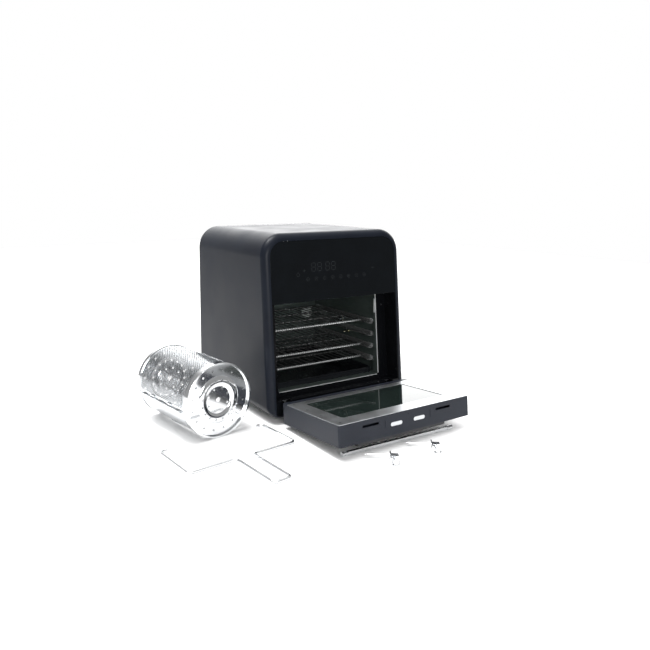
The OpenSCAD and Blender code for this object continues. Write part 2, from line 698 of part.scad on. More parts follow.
module lamp_cover() color("#dfe8e4") translate([lamp_x, 0, lamp_z]) difference() {
    union() {
        bar_y(lamp_r, cavity_y1 - 5, cavity_y1);
        bar_y(lamp_r - 2.3, cavity_y1 - 1, cavity_y1 + sheet_t);
    }
    bar_y(lamp_r - 3.5, cavity_y1 - 3.5, cavity_y1 + sheet_t + 1);
}

probe_y = spit_y - 30;
probe_z = levels[2] - 11;
module temperature_probe() color("#c8a45a") translate([0, probe_y, probe_z]) {
    bar_x(2, cavity_hw - 13, cavity_hw + 8);
    translate([cavity_hw - 13, 0, 0]) sphere(r = 2);
    bar_x(4.5, cavity_hw - 1.5, cavity_hw);
    bar_x(4.5, cavity_hw + sheet_t, cavity_hw + sheet_t + 3);
}

module thermal_cutout() color("#d9d5c8") translate([cavity_hw * 0.62, cavity_mid_y + 62, pan_top]) {
    bar_z(8.5, 0, 7);
    bar_z(6, 6.9, 11);
    for (s = [-1, 1]) block([s * 4 - 1.6, -0.4, 10.9], [s * 4 + 1.6, 0.4, 19]);
    block([-14, -4, 0], [14, 4, 1]);
}

gland_bore = 3.6;
module cable_gland() color("#17181a") translate([gland_at[0], 0, gland_at[1]]) difference() {
    union() {
        bar_y(gland_r, cover_y - 6, rear_y - 2);
        bar_y(gland_r + 3, cover_y + cover_t, cover_y + cover_t + 2.5);
        bar_y(gland_r + 3, cover_y - 5, cover_y);
    }
    bar_y(gland_bore, cover_y - 7, rear_y);
}

// ---------- door ----------

module door_frame() color("#43464d") door_open() difference() {
    union() {
        along_y(door_face, door_back - trim_t) plate2d(-door_hw, door_bottom, door_hw, door_top, 3);
        along_y(door_back - trim_t - 0.01, door_back) plate2d(-door_hw, door_bottom, door_hw, trim_z, 3);
    }
    // window, with a seat for each pane
    along_y(door_face - 1, door_back + 1) plate2d(-window_hw, window_z0, window_hw, window_z1 - 3, 6);
    along_y(door_face - 1, door_face + outer_glass_t + 0.4)
        plate2d(-outer_glass_hw, outer_glass_z0, outer_glass_hw, window_z1 + 0.5, 6);
    along_y(door_back - trim_t - glass_seat - 0.1, door_back + 1)
        plate2d(-window_hw - glass_inset, window_z0 - glass_inset, window_hw + glass_inset, window_z1 + glass_inset, 3);
    // finger pocket behind the handle
    along_y(door_face - 1, door_face + pocket_d) plate2d(-pocket_hw, handle_z + 0.5, pocket_hw, door_top - 4.5, 4);
    // hollows of the side rails, between the screw ribs
    for (s = [-1, 1], k = [0 : 2])
        along_y(door_face + 5.7, door_back + 1)
            plate2d(s * (door_hw - 11.5) - 8, trim_screw_zs[k] + 5, s * (door_hw - 11.5) + 8, trim_screw_zs[k + 1] - 5, 2);
    // hollow of the top rail
    along_y(door_face + pocket_d + 2.5, door_back + 1)
        plate2d(-window_hw - 4, rail_hollow_z, window_hw + 4, door_top - 2.5, 2);
    // hollows of the bottom rail, open towards the hinges
    for (i = [-1 : 1]) block([i * 76 - 34, door_face + 4.5, door_bottom - 1], [i * 76 + 34, door_back - 4, door_bottom + 16]);
    // sockets for the hinge arms
    for (s = [-1, 1]) block([s * hinge_x - arm_t / 2 - 0.2, pivot_y - arm_w / 2 - 0.2, door_bottom - 1],
        [s * hinge_x + arm_t / 2 + 0.2, pivot_y + arm_w / 2 + 0.2, pivot_z + arm_l + 0.5]);
    // vents in the top edge
    for (s = [-1, 1]) translate([s * 82.5, door_back - 11.5, 0])
        block([-17.5, -2.2, door_top - 4], [17.5, 2.2, door_top + 1]);
    // seats for the catch plates
    for (s = [-1, 1]) translate([s * 26, catch_y, 0]) linear_slot(26.4, 3.5, door_top - 1.6, door_top + 1);
    // moulded lines either side of the catches, and a small drain hole
    for (s = [-1, 1]) block([s * 51.5 - 0.6, door_face + 15, door_top - 0.8], [s * 51.5 + 0.6, door_face + 28.5, door_top + 1]);
    translate([0, door_back - 7, 0]) bar_z(1.2, door_top - 4, door_top + 1);
    // screw holes
    for (s = [-1, 1], z = trim_screw_zs) translate([s * trim_screw_x, 0, z]) bar_y(1.5, door_back - 14, door_back + 1);
    for (s = [-1, 1]) translate([s * post_x, 0, handle_screw_z])
        bar_y(1.8, door_face - 1, door_face + pocket_d + 3);
}

catch_y = door_face + 18.2;
// an upright slot with round ends, length l and half width r
module linear_slot(l, r, z0, z1) translate([0, 0, z0]) linear_extrude(z1 - z0) {
    square([l - 2 * r, 2 * r], center = true);
    for (s = [-1, 1]) translate([s * (l / 2 - r), 0]) circle(r = r);
}

module catch_plates() color("#c3c5c8") door_open()
    for (s = [-1, 1]) translate([s * 26, catch_y, 0]) linear_slot(26, 3.3, door_top - 1.6, door_top - 0.5);

module door_outer_glass() color("#101214") door_open()
    along_y(door_face + 0.2, door_face + 0.2 + outer_glass_t)
        plate2d(-outer_glass_hw + gap, outer_glass_z0 + gap, outer_glass_hw - gap, window_z1 + 0.5 - gap, 6);

module door_inner_glass() color("#2a3331") door_open()
    along_y(door_back - trim_t - glass_seat, door_back - trim_t)
        plate2d(-window_hw - glass_inset + gap, window_z0 - glass_inset + gap,
            window_hw + glass_inset - gap, window_z1 + glass_inset - gap, 3);

module door_inner_trim() color("#b3b5b9") door_open() difference() {
    along_y(door_back - trim_t, door_back) plate2d(-door_hw + 0.9, trim_z, door_hw - 0.9, door_top - 0.3, 3);
    along_y(door_back - 5, door_back + 1) plate2d(-window_hw, window_z0, window_hw, window_z1, 6);
    for (s = [-1, 1], z = trim_screw_zs) translate([s * trim_screw_x, 0, z]) bar_y(2.6, door_back - 5, door_back + 1);
}

module trim_screws() color("#8d9096") door_open()
    for (s = [-1, 1], z = trim_screw_zs) translate([s * trim_screw_x, 0, z]) {
        bar_y(1.4, door_back - 12, door_back - trim_t + 0.01);
        difference() {
            bar_y(2.5, door_back - trim_t, door_back);
            block([-1.6, door_back - 0.4, -0.35], [1.6, door_back + 1, 0.35]);
            block([-0.35, door_back - 0.4, -1.6], [0.35, door_back + 1, 1.6]);
        }
    }

module door_handle() color("#17181b") door_open() difference() {
    union() {
        along_y(door_face - handle_stand, door_face - handle_stand + handle_t)
            plate2d(-handle_hw, handle_z, handle_hw, handle_z + handle_h, 3);
        for (s = [-1, 1]) along_y(door_face - handle_stand + handle_t - 0.1, door_face)
            plate2d(s * post_x - 5, handle_z + 2, s * post_x + 5, handle_z + handle_h - 2, 2);
    }
    for (s = [-1, 1]) translate([s * post_x, 0, handle_screw_z])
        bar_y(1.6, door_face - handle_stand + 2.5, door_face + 1);
    // grip lines along the inner face
    for (i = [0 : 3]) block([-handle_hw + 14, door_face - handle_stand + handle_t - 0.6, handle_z + 2.6 + 3 * i],
        [handle_hw - 14, door_face - handle_stand + handle_t + 1, handle_z + 3.8 + 3 * i]);
}

module handle_screws() color("#8d9096") door_open()
    for (s = [-1, 1]) translate([s * post_x, 0, handle_screw_z])
        screw_y(door_face + pocket_d + 2.5, 3, 2, 1.5, pocket_d + 2.5 + handle_stand - handle_t + 2);

module hinge_arms() color("#a8abae") door_open()
    for (s = [-1, 1]) translate([s * hinge_x - arm_t / 2, 0, 0]) difference() {
        along_x(0, arm_t) union() {
            translate([pivot_y, pivot_z]) circle(r = arm_w / 2);
            translate([pivot_y - arm_w / 2, pivot_z]) square([arm_w, arm_l]);
        }
        translate([0, pivot_y, pivot_z]) bar_x(pin_r + bearing_gap, -1, arm_t + 1);
    }

// ---------- racks and tray ----------

module rack(z) translate([0, 0, z]) {
    x = rack_hw - frame_r;
    y0 = rack_y0 + frame_r;
    y1 = rack_y0 + rack_d - frame_r;
    c = 10;
    // frame wire with rounded corners
    for (s = [-1, 1]) translate([s * x, 0, 0]) bar_y(frame_r, y0 + c, y1 - c);
    for (y = [y0, y1]) translate([0, y, 0]) bar_x(frame_r, -x + c, x - c);
    for (q = [[1, 1, 0], [-1, 1, 90], [-1, -1, 180], [1, -1, 270]])
        translate([q[0] * (x - c), (q[1] > 0 ? y1 - c : y0 + c), 0]) rotate([0, 0, q[2]])
            rotate_extrude(angle = 90) translate([c, 0]) circle(r = frame_r);
    // thin wires from front to rear, on two cross bars
    for (i = [0 : wire_count - 1]) translate([(i - (wire_count - 1) / 2) * (2 * x - 14) / (wire_count - 1), 0, 0.9])
        bar_y(wire_r, y0, y1);
    for (t = [0.33, 0.67]) translate([0, y0 + t * (y1 - y0), -0.5]) bar_x(1.4, -x, x);
}

module rack_lower() color("#d6d8da") rack(levels[0]);
module rack_middle() color("#d6d8da") rack(levels[1]);
module rack_upper() color("#d6d8da") rack(levels[3]);

tray_z = cavity_floor + gap;
tray_hw = rack_hw - 1;
tray_y0 = cavity_y0 + 3;
tray_y1 = cavity_y1 - 4;
module drip_tray() color("#35373a") difference() {
    translate([0, 0, tray_z]) linear_extrude(tray_h) plate2d(-tray_hw, tray_y0, tray_hw, tray_y1, 8);
    translate([0, 0, tray_z + sheet_t]) linear_extrude(tray_h + 1)
        plate2d(-tray_hw + 2, tray_y0 + 2, tray_hw - 2, tray_y1 - 2, 6);
}

// ---------- drum basket ----------

// the drum's own frame: z along its axis from the rear disc, x down, y away from the left side
module drum_place() translate([drum_x, drum_y, drum_r]) rotate([0, 0, drum_turn]) rotate([0, 90, 0])
    translate([0, 0, -drum_l / 2]) children();

module sector(a0, a1, r) polygon([[0, 0], [r * cos(a0), r * sin(a0)],
    [r * 1.2 * cos((a0 + a1) / 2), r * 1.2 * sin((a0 + a1) / 2)], [r * cos(a1), r * sin(a1)]]);

knuckles = [for (k = [0 : 4]) flap_end + 8 + k * (drum_l - 2 * flap_end - 16 - 14) / 4];
module knuckle_tube(z) rotate([0, 0, flap_a0]) translate([flap_pin_at, 0, z]) cylinder(r = 1.7, h = 14);

module drum_mesh() color("#c9cbcd") drum_place() {
    difference() {
        translate([0, 0, 1.2]) cylinder(r = mesh_r - 0.05, h = drum_l - 2.4);
        cylinder(r = mesh_r - drum_t, h = drum_l);
        translate([0, 0, flap_end]) linear_extrude(drum_l - 2 * flap_end) sector(flap_a0 - 0.6, flap_a1 + 0.6, drum_r + 6);
    }
    // hinge knuckles of the flap and their pin
    for (k = [1, 3]) difference() {
        union() {
            knuckle_tube(knuckles[k]);
            rotate([0, 0, flap_a0]) translate([mesh_r - drum_t + 0.05, -5.5, knuckles[k]])
                cube([flap_pin_at - mesh_r + drum_t, 4.2, 14]);
        }
        rotate([0, 0, flap_a0]) translate([flap_pin_at, 0, knuckles[k] - 1]) cylinder(r = flap_pin_r, h = 16);
    }
    rotate([0, 0, flap_a0]) translate([flap_pin_at, 0, knuckles[0] - 2])
        cylinder(r = flap_pin_r, h = knuckles[4] - knuckles[0] + 18);
}

module drum_flap() color("#b9bbbe") drum_place() {
    difference() {
        translate([0, 0, flap_end + 0.6]) linear_extrude(drum_l - 2 * flap_end - 1.2)
            intersection() {
                difference() {
                    circle(r = mesh_r);
                    circle(r = mesh_r - drum_t);
                }
                sector(flap_a0 + 0.6, flap_a1, drum_r + 6);
            }
    }
    for (k = [0, 2, 4]) difference() {
        union() {
            knuckle_tube(knuckles[k]);
            rotate([0, 0, flap_a0]) translate([mesh_r - drum_t + 0.05, 1, knuckles[k]])
                cube([flap_pin_at - mesh_r + drum_t, 3, 14]);
        }
        rotate([0, 0, flap_a0]) translate([flap_pin_at, 0, knuckles[k] - 1]) cylinder(r = flap_pin_r + bearing_gap, h = 16);
    }
    // latch tab over the edge of the drum
    translate([0, 0, drum_l / 2 - 9]) linear_extrude(18) intersection() {
        difference() {
            circle(r = drum_r - 0.1);
            circle(r = mesh_r + 0.3);
        }
        sector(flap_a1 - 7, flap_a1 + 6, drum_r + 6);
    }
    translate([0, 0, drum_l / 2 - 9]) linear_extrude(18) intersection() {
        difference() {
            circle(r = mesh_r + 0.4);
            circle(r = mesh_r - 0.2);
        }
        sector(flap_a1 - 7, flap_a1 - 3, drum_r + 6);
    }
}

// a drum end: a plate set back inside a folded rim with a rolled bead. A rounded ring is pressed out of the
// plate between its two radii, and three rings of holes are drilled.
plate_z = 5;
ring_in = drum_r * 0.36;
ring_out = drum_r * 0.64;
ring_rise = 3.2;
ring_mid = (ring_in + ring_out) / 2;
ring_r = (pow((ring_out - ring_in) / 2, 2) + ring_rise * ring_rise) / (2 * ring_rise);
hole_rings = [[8, 0.31, 2.1], [16, 0.52, 2.1], [16, 0.8, 2.1]];
module ring_arc(r, low) intersection() {
    translate([ring_mid, plate_z - ring_rise + ring_r]) circle(r = r);
    translate([0, -2]) square([drum_r, low + 2]);
}
module drum_end() difference() {
    rotate_extrude() difference() {
        union() {
            translate([0, plate_z]) square([mesh_r - drum_t - 0.1, 1]);
            ring_arc(ring_r, plate_z + 0.5);
            // folded rim: inner wall, end face, outer band and bead
            translate([mesh_r - drum_t - 1.1, 0.5]) square([1, plate_z + 0.5]);
            translate([mesh_r - drum_t - 1.1, 0]) square([drum_r - mesh_r + drum_t, 1]);
            translate([mesh_r, 0.5]) square([rim_t, rim_l]);
            translate([drum_r - 1.6, 1.6]) circle(r = 1.6);
        }
        ring_arc(ring_r - 1, plate_z + 2);
        // the groove that the end of the wall sits in
        translate([mesh_r - drum_t - 0.1, 1]) square([drum_t + 0.1, rim_l]);
    }
    translate([0, 0, plate_z - 2]) cylinder(r = spit_end_r + 0.5, h = 6);
    for (p = hole_rings) for (i = [0 : p[0] - 1])
        rotate([0, 0, (i + 0.5) * 360 / p[0]]) translate([p[1] * drum_r, 0, 0]) cylinder(r = p[2], h = plate_z + 4);
}

module drum_rear_disc() color("#cfd1d3") drum_place() drum_end();
module drum_front_disc() color("#e2e4e6") drum_place() translate([0, 0, drum_l]) mirror([0, 0, 1]) drum_end();

// ---------- spit, forks and lifting tool ----------

module spit_rod() color("#c4c7c9") translate([spit_at[0], spit_at[1], spit_end_r]) rotate([0, 0, spit_turn]) {
    difference() {
        union() {
            block([-spit_l / 2 + 16, -spit_w / 2, -spit_w / 2], [spit_l / 2 - 16, spit_w / 2, spit_w / 2]);
            bar_x(spit_end_r, -spit_l / 2 + 4, -spit_l / 2 + 16.1);
            bar_x(spit_end_r, spit_l / 2 - 16.1, spit_l / 2 - 3);
            translate([spit_l / 2 - 3, 0, 0]) rotate([0, 90, 0]) cylinder(r1 = spit_end_r, r2 = 1, h = 3);
        }
        // locating groove at the left end
        difference() {
            bar_x(spit_end_r + 1, -spit_l / 2 + 8, -spit_l / 2 + 11);
            bar_x(spit_end_r - 1.2, -spit_l / 2 + 7, -spit_l / 2 + 12);
        }
    }
}

// fork frame: x along the tines towards the base, z up from the worktop
module fork_place(at) translate([at[0], at[1], 0]) rotate([0, 0, fork_turn]) children();

module fork() difference() {
    union() {
        along_x(0, 2) plate2d(-fork_hw, 0, fork_hw, fork_strip, 2);
        block([1.9, -hub_w / 2, 0], [14, hub_w / 2, fork_strip]);
        for (s = [-1, 1]) translate([0, s * (fork_hw - 3), fork_strip / 2]) {
            bar_x(1.5, -tine_l + 6, 0.1);
            translate([-tine_l, 0, 0]) rotate([0, 90, 0]) cylinder(r1 = 0.3, r2 = 1.5, h = 6.01);
        }
    }
    block([-1, -spit_w / 2 - 0.3, fork_strip / 2 - spit_w / 2 - 0.3],
        [15, spit_w / 2 + 0.3, fork_strip / 2 + spit_w / 2 + 0.3]);
    translate([8, 0, fork_strip / 2]) bar_y(stud_r + bearing_gap, -hub_w / 2 - 1, 0);
}

module thumbscrew() translate([8, 0, fork_strip / 2]) {
    bar_y(stud_r, -18, -spit_w / 2 - 0.5);
    bar_y(3.4, -17, -14);
    difference() {
        along_y(-31, -16.9) translate([-5.5, -1.1]) square([11, 2.2]);
        along_y(-29, -19) translate([-3.5, -2]) square([7, 4]);
    }
}

module fork_one() color("#c9cbcd") fork_place(fork_one_at) fork();
module fork_two() color("#c9cbcd") fork_place(fork_two_at) fork();
module thumbscrew_one() color("#b4b7b9") fork_place(fork_one_at) thumbscrew();
module thumbscrew_two() color("#b4b7b9") fork_place(fork_two_at) thumbscrew();

// a quarter bend of the tool's wire, turned from one axis to the next from angle a
module tool_bend(x, y, a) translate([x, y, 0]) rotate([0, 0, a]) rotate_extrude(angle = 90)
    translate([tool_bend_r, 0]) circle(r = tool_r);

module lifting_tool() color("#c9cbcd") translate([tool_at[0], tool_at[1], tool_r]) rotate([0, 0, tool_turn]) {
    b = tool_bend_r;
    cross_y = -tool_arm;
    end_y = -tool_arm - tool_grip;
    for (s = [-1, 1]) {
        // hook that takes the end of the spit, then the arm
        tool_bend(s * (tool_hw - b), 0, s > 0 ? 0 : 90);
        translate([0, b, 0]) bar_x(tool_r, min(s * (tool_hw - b), s * (tool_hw - b - 5)),
            max(s * (tool_hw - b), s * (tool_hw - b - 5)));
        translate([s * tool_hw, 0, 0]) bar_y(tool_r, cross_y + b, 0);
        tool_bend(s * (tool_hw - b), cross_y + b, s > 0 ? 270 : 180);
        // inward to the grip
        translate([0, cross_y, 0]) bar_x(tool_r, min(s * (tool_hw - b), s * (tool_grip_hw + b)),
            max(s * (tool_hw - b), s * (tool_grip_hw + b)));
        tool_bend(s * (tool_grip_hw + b), cross_y - b, s > 0 ? 90 : 0);
        translate([s * tool_grip_hw, 0, 0]) bar_y(tool_r, end_y + b, cross_y - b);
        tool_bend(s * (tool_grip_hw - b), end_y + b, s > 0 ? 270 : 180);
    }
    translate([0, end_y, 0]) bar_x(tool_r, -tool_grip_hw + b, tool_grip_hw - b);
}

housing_shell();
back_cover();
base_plate();
rubber_feet();
foot_screws();
back_cover_screws();
front_fascia();
sill_panel();
control_panel_glass();
control_carrier();
control_board();
power_board();
hinge_brackets();
hinge_pins();
door_switch();
cavity_liner();
rack_runners();
cavity_supports();
heater_pan();
heating_element();
fan_guard();
motor_bracket();
fan_motor();
gear_motor();
drive_bush();
spit_support();
lamp_holder();
lamp_bulb();
lamp_cover();
temperature_probe();
thermal_cutout();
cable_gland();
door_frame();
door_outer_glass();
door_inner_glass();
door_inner_trim();
door_handle();
handle_screws();
hinge_arms();
trim_screws();
catch_plates();
switch_plunger();
fan_shaft();
convection_fan();
cooling_fan();
drive_socket();
rack_lower();
rack_middle();
rack_upper();
drip_tray();
drum_mesh();
drum_front_disc();
drum_rear_disc();
drum_flap();
spit_rod();
fork_one();
thumbscrew_one();
fork_two();
thumbscrew_two();
lifting_tool();
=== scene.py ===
"""Looks of the worktop rotisserie oven: a moulded slate housing, a glazed drop-down door shown open, chromed
racks, and beside them the drum basket, the spit with its forks and the lifting tool."""
import json
import math

import bmesh
import bpy
from mathutils import Matrix, Vector

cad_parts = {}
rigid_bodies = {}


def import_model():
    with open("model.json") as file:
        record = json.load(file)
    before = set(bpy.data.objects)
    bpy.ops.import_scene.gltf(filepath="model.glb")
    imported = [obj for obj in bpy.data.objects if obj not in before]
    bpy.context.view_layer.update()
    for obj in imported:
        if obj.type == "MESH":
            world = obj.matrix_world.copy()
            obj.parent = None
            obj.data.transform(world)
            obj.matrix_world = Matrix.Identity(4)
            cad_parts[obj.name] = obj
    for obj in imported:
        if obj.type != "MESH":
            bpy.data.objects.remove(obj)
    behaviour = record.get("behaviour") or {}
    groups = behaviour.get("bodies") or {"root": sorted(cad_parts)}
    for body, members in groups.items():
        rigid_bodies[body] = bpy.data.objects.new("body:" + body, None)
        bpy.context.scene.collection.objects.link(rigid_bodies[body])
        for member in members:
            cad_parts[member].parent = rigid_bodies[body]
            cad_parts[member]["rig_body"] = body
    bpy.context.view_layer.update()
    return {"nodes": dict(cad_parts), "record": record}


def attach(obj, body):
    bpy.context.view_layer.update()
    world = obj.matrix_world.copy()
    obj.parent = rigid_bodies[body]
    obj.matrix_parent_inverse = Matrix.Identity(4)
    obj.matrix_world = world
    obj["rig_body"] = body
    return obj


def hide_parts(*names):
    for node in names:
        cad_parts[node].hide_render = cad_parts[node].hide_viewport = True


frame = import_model()
nodes = frame["nodes"]
MM = 0.001

# The oven's own sizes, in millimetres, as its design gives them.
HALF_W, TALL, HALF_D, FOOT = 165.0, 360.0, 162.0, 12.0
WALL, TOP_R, LOW_R, LIP_R, LOW_LIP = 2.5, 46.0, 22.0, 14.0, 0.25
LEAN = math.radians(4.69)
OPEN_HW, OPEN_LOW, OPEN_TOP, OPEN_R = 150.4, 16.04, 346.6, 30.0
PANEL_Z = 227.4
HINGE_X = 125.0
DRUM_R, DRUM_L, DRUM_WALL_R, SHEET = 68.0, 186.0, 66.75, 0.65
FLAP_FROM, FLAP_TO, FLAP_END = -80.0, -30.0, 16.0
SHARP = math.radians(35)
SLOT_OF = {s["node"]: s["material_slot"] for s in frame["record"]["subparts"]}


# ---------- camera and light ----------

def camera():
    data = bpy.data.cameras.new("studio_camera")
    data.sensor_width = 36.0
    data.lens = 35.45
    data.shift_x, data.shift_y = 0.0387, -0.1044
    data.clip_start = 0.02
    cam = bpy.data.objects.new("studio_camera", data)
    cam.location = (-0.7323, -1.1734, 0.4426)
    cam.rotation_euler = (math.pi / 2 - 0.1053, 0.0, -0.5582)
    bpy.context.scene.collection.objects.link(cam)
    bpy.context.scene.camera = cam


def lamp(name, kind, place, target, power, **settings):
    """A studio light at place that points at target."""
    data = bpy.data.lights.new(name, kind)
    data.energy = power
    for key, value in settings.items():
        setattr(data, key, value)
    light = bpy.data.objects.new(name, data)
    light.location = place
    light.rotation_euler = (Vector(target) - Vector(place)).to_track_quat("-Z", "Y").to_euler()
    bpy.context.scene.collection.objects.link(light)


camera()
bpy.context.scene.view_settings.view_transform = "Standard"


# ---------- materials ----------

def linear(code, alpha=1.0):
    """An sRGB hex code as linear red, green, blue and alpha."""
    parts = [int(code[i:i + 2], 16) / 255 for i in (0, 2, 4)]
    return (*[c / 12.92 if c <= 0.04045 else ((c + 0.055) / 1.055) ** 2.4 for c in parts], alpha)


def add(tree, kind, inputs=None, **settings):
    """Adds a node, sets its settings, and gives its inputs values or links from other nodes' sockets."""
    made = tree.nodes.new(kind)
    for key, value in settings.items():
        setattr(made, key, value)
    for key, value in (inputs or {}).items():
        if isinstance(value, bpy.types.NodeSocket):
            tree.links.new(value, made.inputs[key])
        else:
            made.inputs[key].default_value = value
    return made


def blank(name, **shader):
    """A new material with its shader's fixed values set, then its tree, its shader and the object's places."""
    mat = bpy.data.materials.new(name)
    mat.use_nodes = True
    tree = mat.node_tree
    bsdf = tree.nodes["Principled BSDF"]
    for key, value in shader.items():
        bsdf.inputs[key.replace("_", " ")].default_value = value
    return mat, tree, bsdf, add(tree, "ShaderNodeTexCoord").outputs["Object"]


def dress(tree, bsdf, tone, gloss, relief):
    """Gives a shader its colour, its gloss and its relief."""
    tree.links.new(tone.outputs[2], bsdf.inputs["Base Color"])
    tree.links.new(gloss.outputs[0], bsdf.inputs["Roughness"])
    tree.links.new(relief.outputs[0], bsdf.inputs["Normal"])


def moulded(name, dark, light, rough, grain_mm, depth_mm, strength=0.35, spread=0.05, **shader):
    """A moulded or cast surface: a fine grain in relief, and broad faint changes of colour and gloss."""
    mat, t, bsdf, at = blank(name, **shader)
    grain = add(t, "ShaderNodeTexNoise", {"Vector": at, "Scale": 1000 / grain_mm, "Detail": 3.0,
                                          "Roughness": 0.6})
    cloud = add(t, "ShaderNodeTexNoise", {"Vector": at, "Scale": 14.0, "Detail": 4.0, "Roughness": 0.55})
    both = add(t, "ShaderNodeMath", {0: grain.outputs["Fac"], 1: cloud.outputs["Fac"]}, operation="MULTIPLY")
    share = add(t, "ShaderNodeMapRange", {"Value": both.outputs[0], "From Min": 0.12, "From Max": 0.42})
    tone = add(t, "ShaderNodeMix", {0: share.outputs[0], 6: linear(dark), 7: linear(light)}, data_type="RGBA")
    gloss = add(t, "ShaderNodeMapRange", {"Value": cloud.outputs["Fac"], "From Min": 0.3, "From Max": 0.7,
                                          "To Min": rough - spread, "To Max": rough + spread})
    relief = add(t, "ShaderNodeBump", {"Height": grain.outputs["Fac"], "Strength": strength,
                                       "Distance": depth_mm * MM})
    dress(t, bsdf, tone, gloss, relief)
    return mat


def metal(name, dark, light, rough, line_mm, stretch, strength=0.15, spread=0.06, **shader):
    """A metal with its working lines: noise drawn out along one axis, in tone, gloss and a little relief."""
    mat, t, bsdf, at = blank(name, **{"Metallic": 1.0, **shader})
    drawn = add(t, "ShaderNodeMapping", {"Vector": at, "Scale": stretch})
    lines = add(t, "ShaderNodeTexNoise", {"Vector": drawn.outputs[0], "Scale": 1000 / line_mm, "Detail": 4.0})
    haze = add(t, "ShaderNodeTexNoise", {"Vector": at, "Scale": 30.0, "Detail": 3.0})
    tone = add(t, "ShaderNodeMix", {0: lines.outputs["Fac"], 6: linear(dark), 7: linear(light)},
               data_type="RGBA")
    mixed = add(t, "ShaderNodeMath", {0: lines.outputs["Fac"], 1: haze.outputs["Fac"]}, operation="MULTIPLY")
    gloss = add(t, "ShaderNodeMapRange", {"Value": mixed.outputs[0], "From Min": 0.1, "From Max": 0.45,
                                          "To Min": max(0.02, rough - spread), "To Max": rough + spread})
    relief = add(t, "ShaderNodeBump", {"Height": lines.outputs["Fac"], "Strength": strength,
                                       "Distance": 0.05 * MM})
    dress(t, bsdf, tone, gloss, relief)
    return mat


def glass(name, tint, rough, clear, ior=1.5, ripple=0.03, **shader):
    """Sheet or pressed glass: a tint, a very slight wave in its face, and faint wiping marks in its gloss."""
    mat, t, bsdf, at = blank(name, IOR=ior, Transmission_Weight=clear, **shader)
    wave = add(t, "ShaderNodeTexNoise", {"Vector": at, "Scale": 22.0, "Detail": 1.0})
    wiped = add(t, "ShaderNodeMapping", {"Vector": at, "Scale": (1.0, 4.0, 4.0)})
    wipe = add(t, "ShaderNodeTexNoise", {"Vector": wiped.outputs[0], "Scale": 40.0, "Detail": 5.0})
    tone = add(t, "ShaderNodeMix", {0: wave.outputs["Fac"], 6: linear(tint[0]), 7: linear(tint[1])},
               data_type="RGBA")
    gloss = add(t, "ShaderNodeMapRange", {"Value": wipe.outputs["Fac"], "From Min": 0.35, "From Max": 0.75,
                                          "To Min": rough * 0.5, "To Max": rough * 1.8})
    relief = add(t, "ShaderNodeBump", {"Height": wave.outputs["Fac"], "Strength": ripple,
                                       "Distance": 0.4 * MM})
    dress(t, bsdf, tone, gloss, relief)
    return mat


def lit_rim_shaded_depth(name, lit_to, shaded_from, shade_share):
    """Bright steel with painted light and shade: painted light up to one depth in metres, painted shade past
    another, and painted glints in beads along x.
    """
    mat = metal(name, "E4E6E7", "F6F7F7", 0.24, 2.0, (1.0, 1.0, 1.0), 0.1, 0.04, Metallic=0.75)
    t = mat.node_tree
    bsdf = t.nodes["Principled BSDF"]
    steel_tone = bsdf.inputs["Base Color"].links[0].from_socket
    glint_pitch = 0.0052
    place = add(t, "ShaderNodeSeparateXYZ", {0: add(t, "ShaderNodeTexCoord").outputs["Object"]})
    # Painted shade: the steel's colour darkens with depth into the cavity, behind the doorway.
    depth = add(t, "ShaderNodeMapRange", {"Value": place.outputs["Y"], "From Min": lit_to,
                                          "From Max": shaded_from, "To Min": 1.0, "To Max": shade_share})
    # Painted glints: the colour rises and falls in beads along x.
    glint_phase = add(t, "ShaderNodeMath", {0: place.outputs["X"], 1: 2 * math.pi / glint_pitch},
               operation="MULTIPLY")
    wave = add(t, "ShaderNodeMath", {0: glint_phase.outputs[0]}, operation="SINE")
    ripple = add(t, "ShaderNodeMath", {0: wave.outputs[0], 1: 0.3, 2: 0.7}, operation="MULTIPLY_ADD")
    bright = add(t, "ShaderNodeMath", {0: depth.outputs[0], 1: ripple.outputs[0]}, operation="MULTIPLY")
    tone = add(t, "ShaderNodeMix", {0: 1.0, 6: steel_tone, 7: bright.outputs[0]}, data_type="RGBA",
               blend_type="MULTIPLY")
    t.links.new(tone.outputs[2], bsdf.inputs["Base Color"])
    return mat


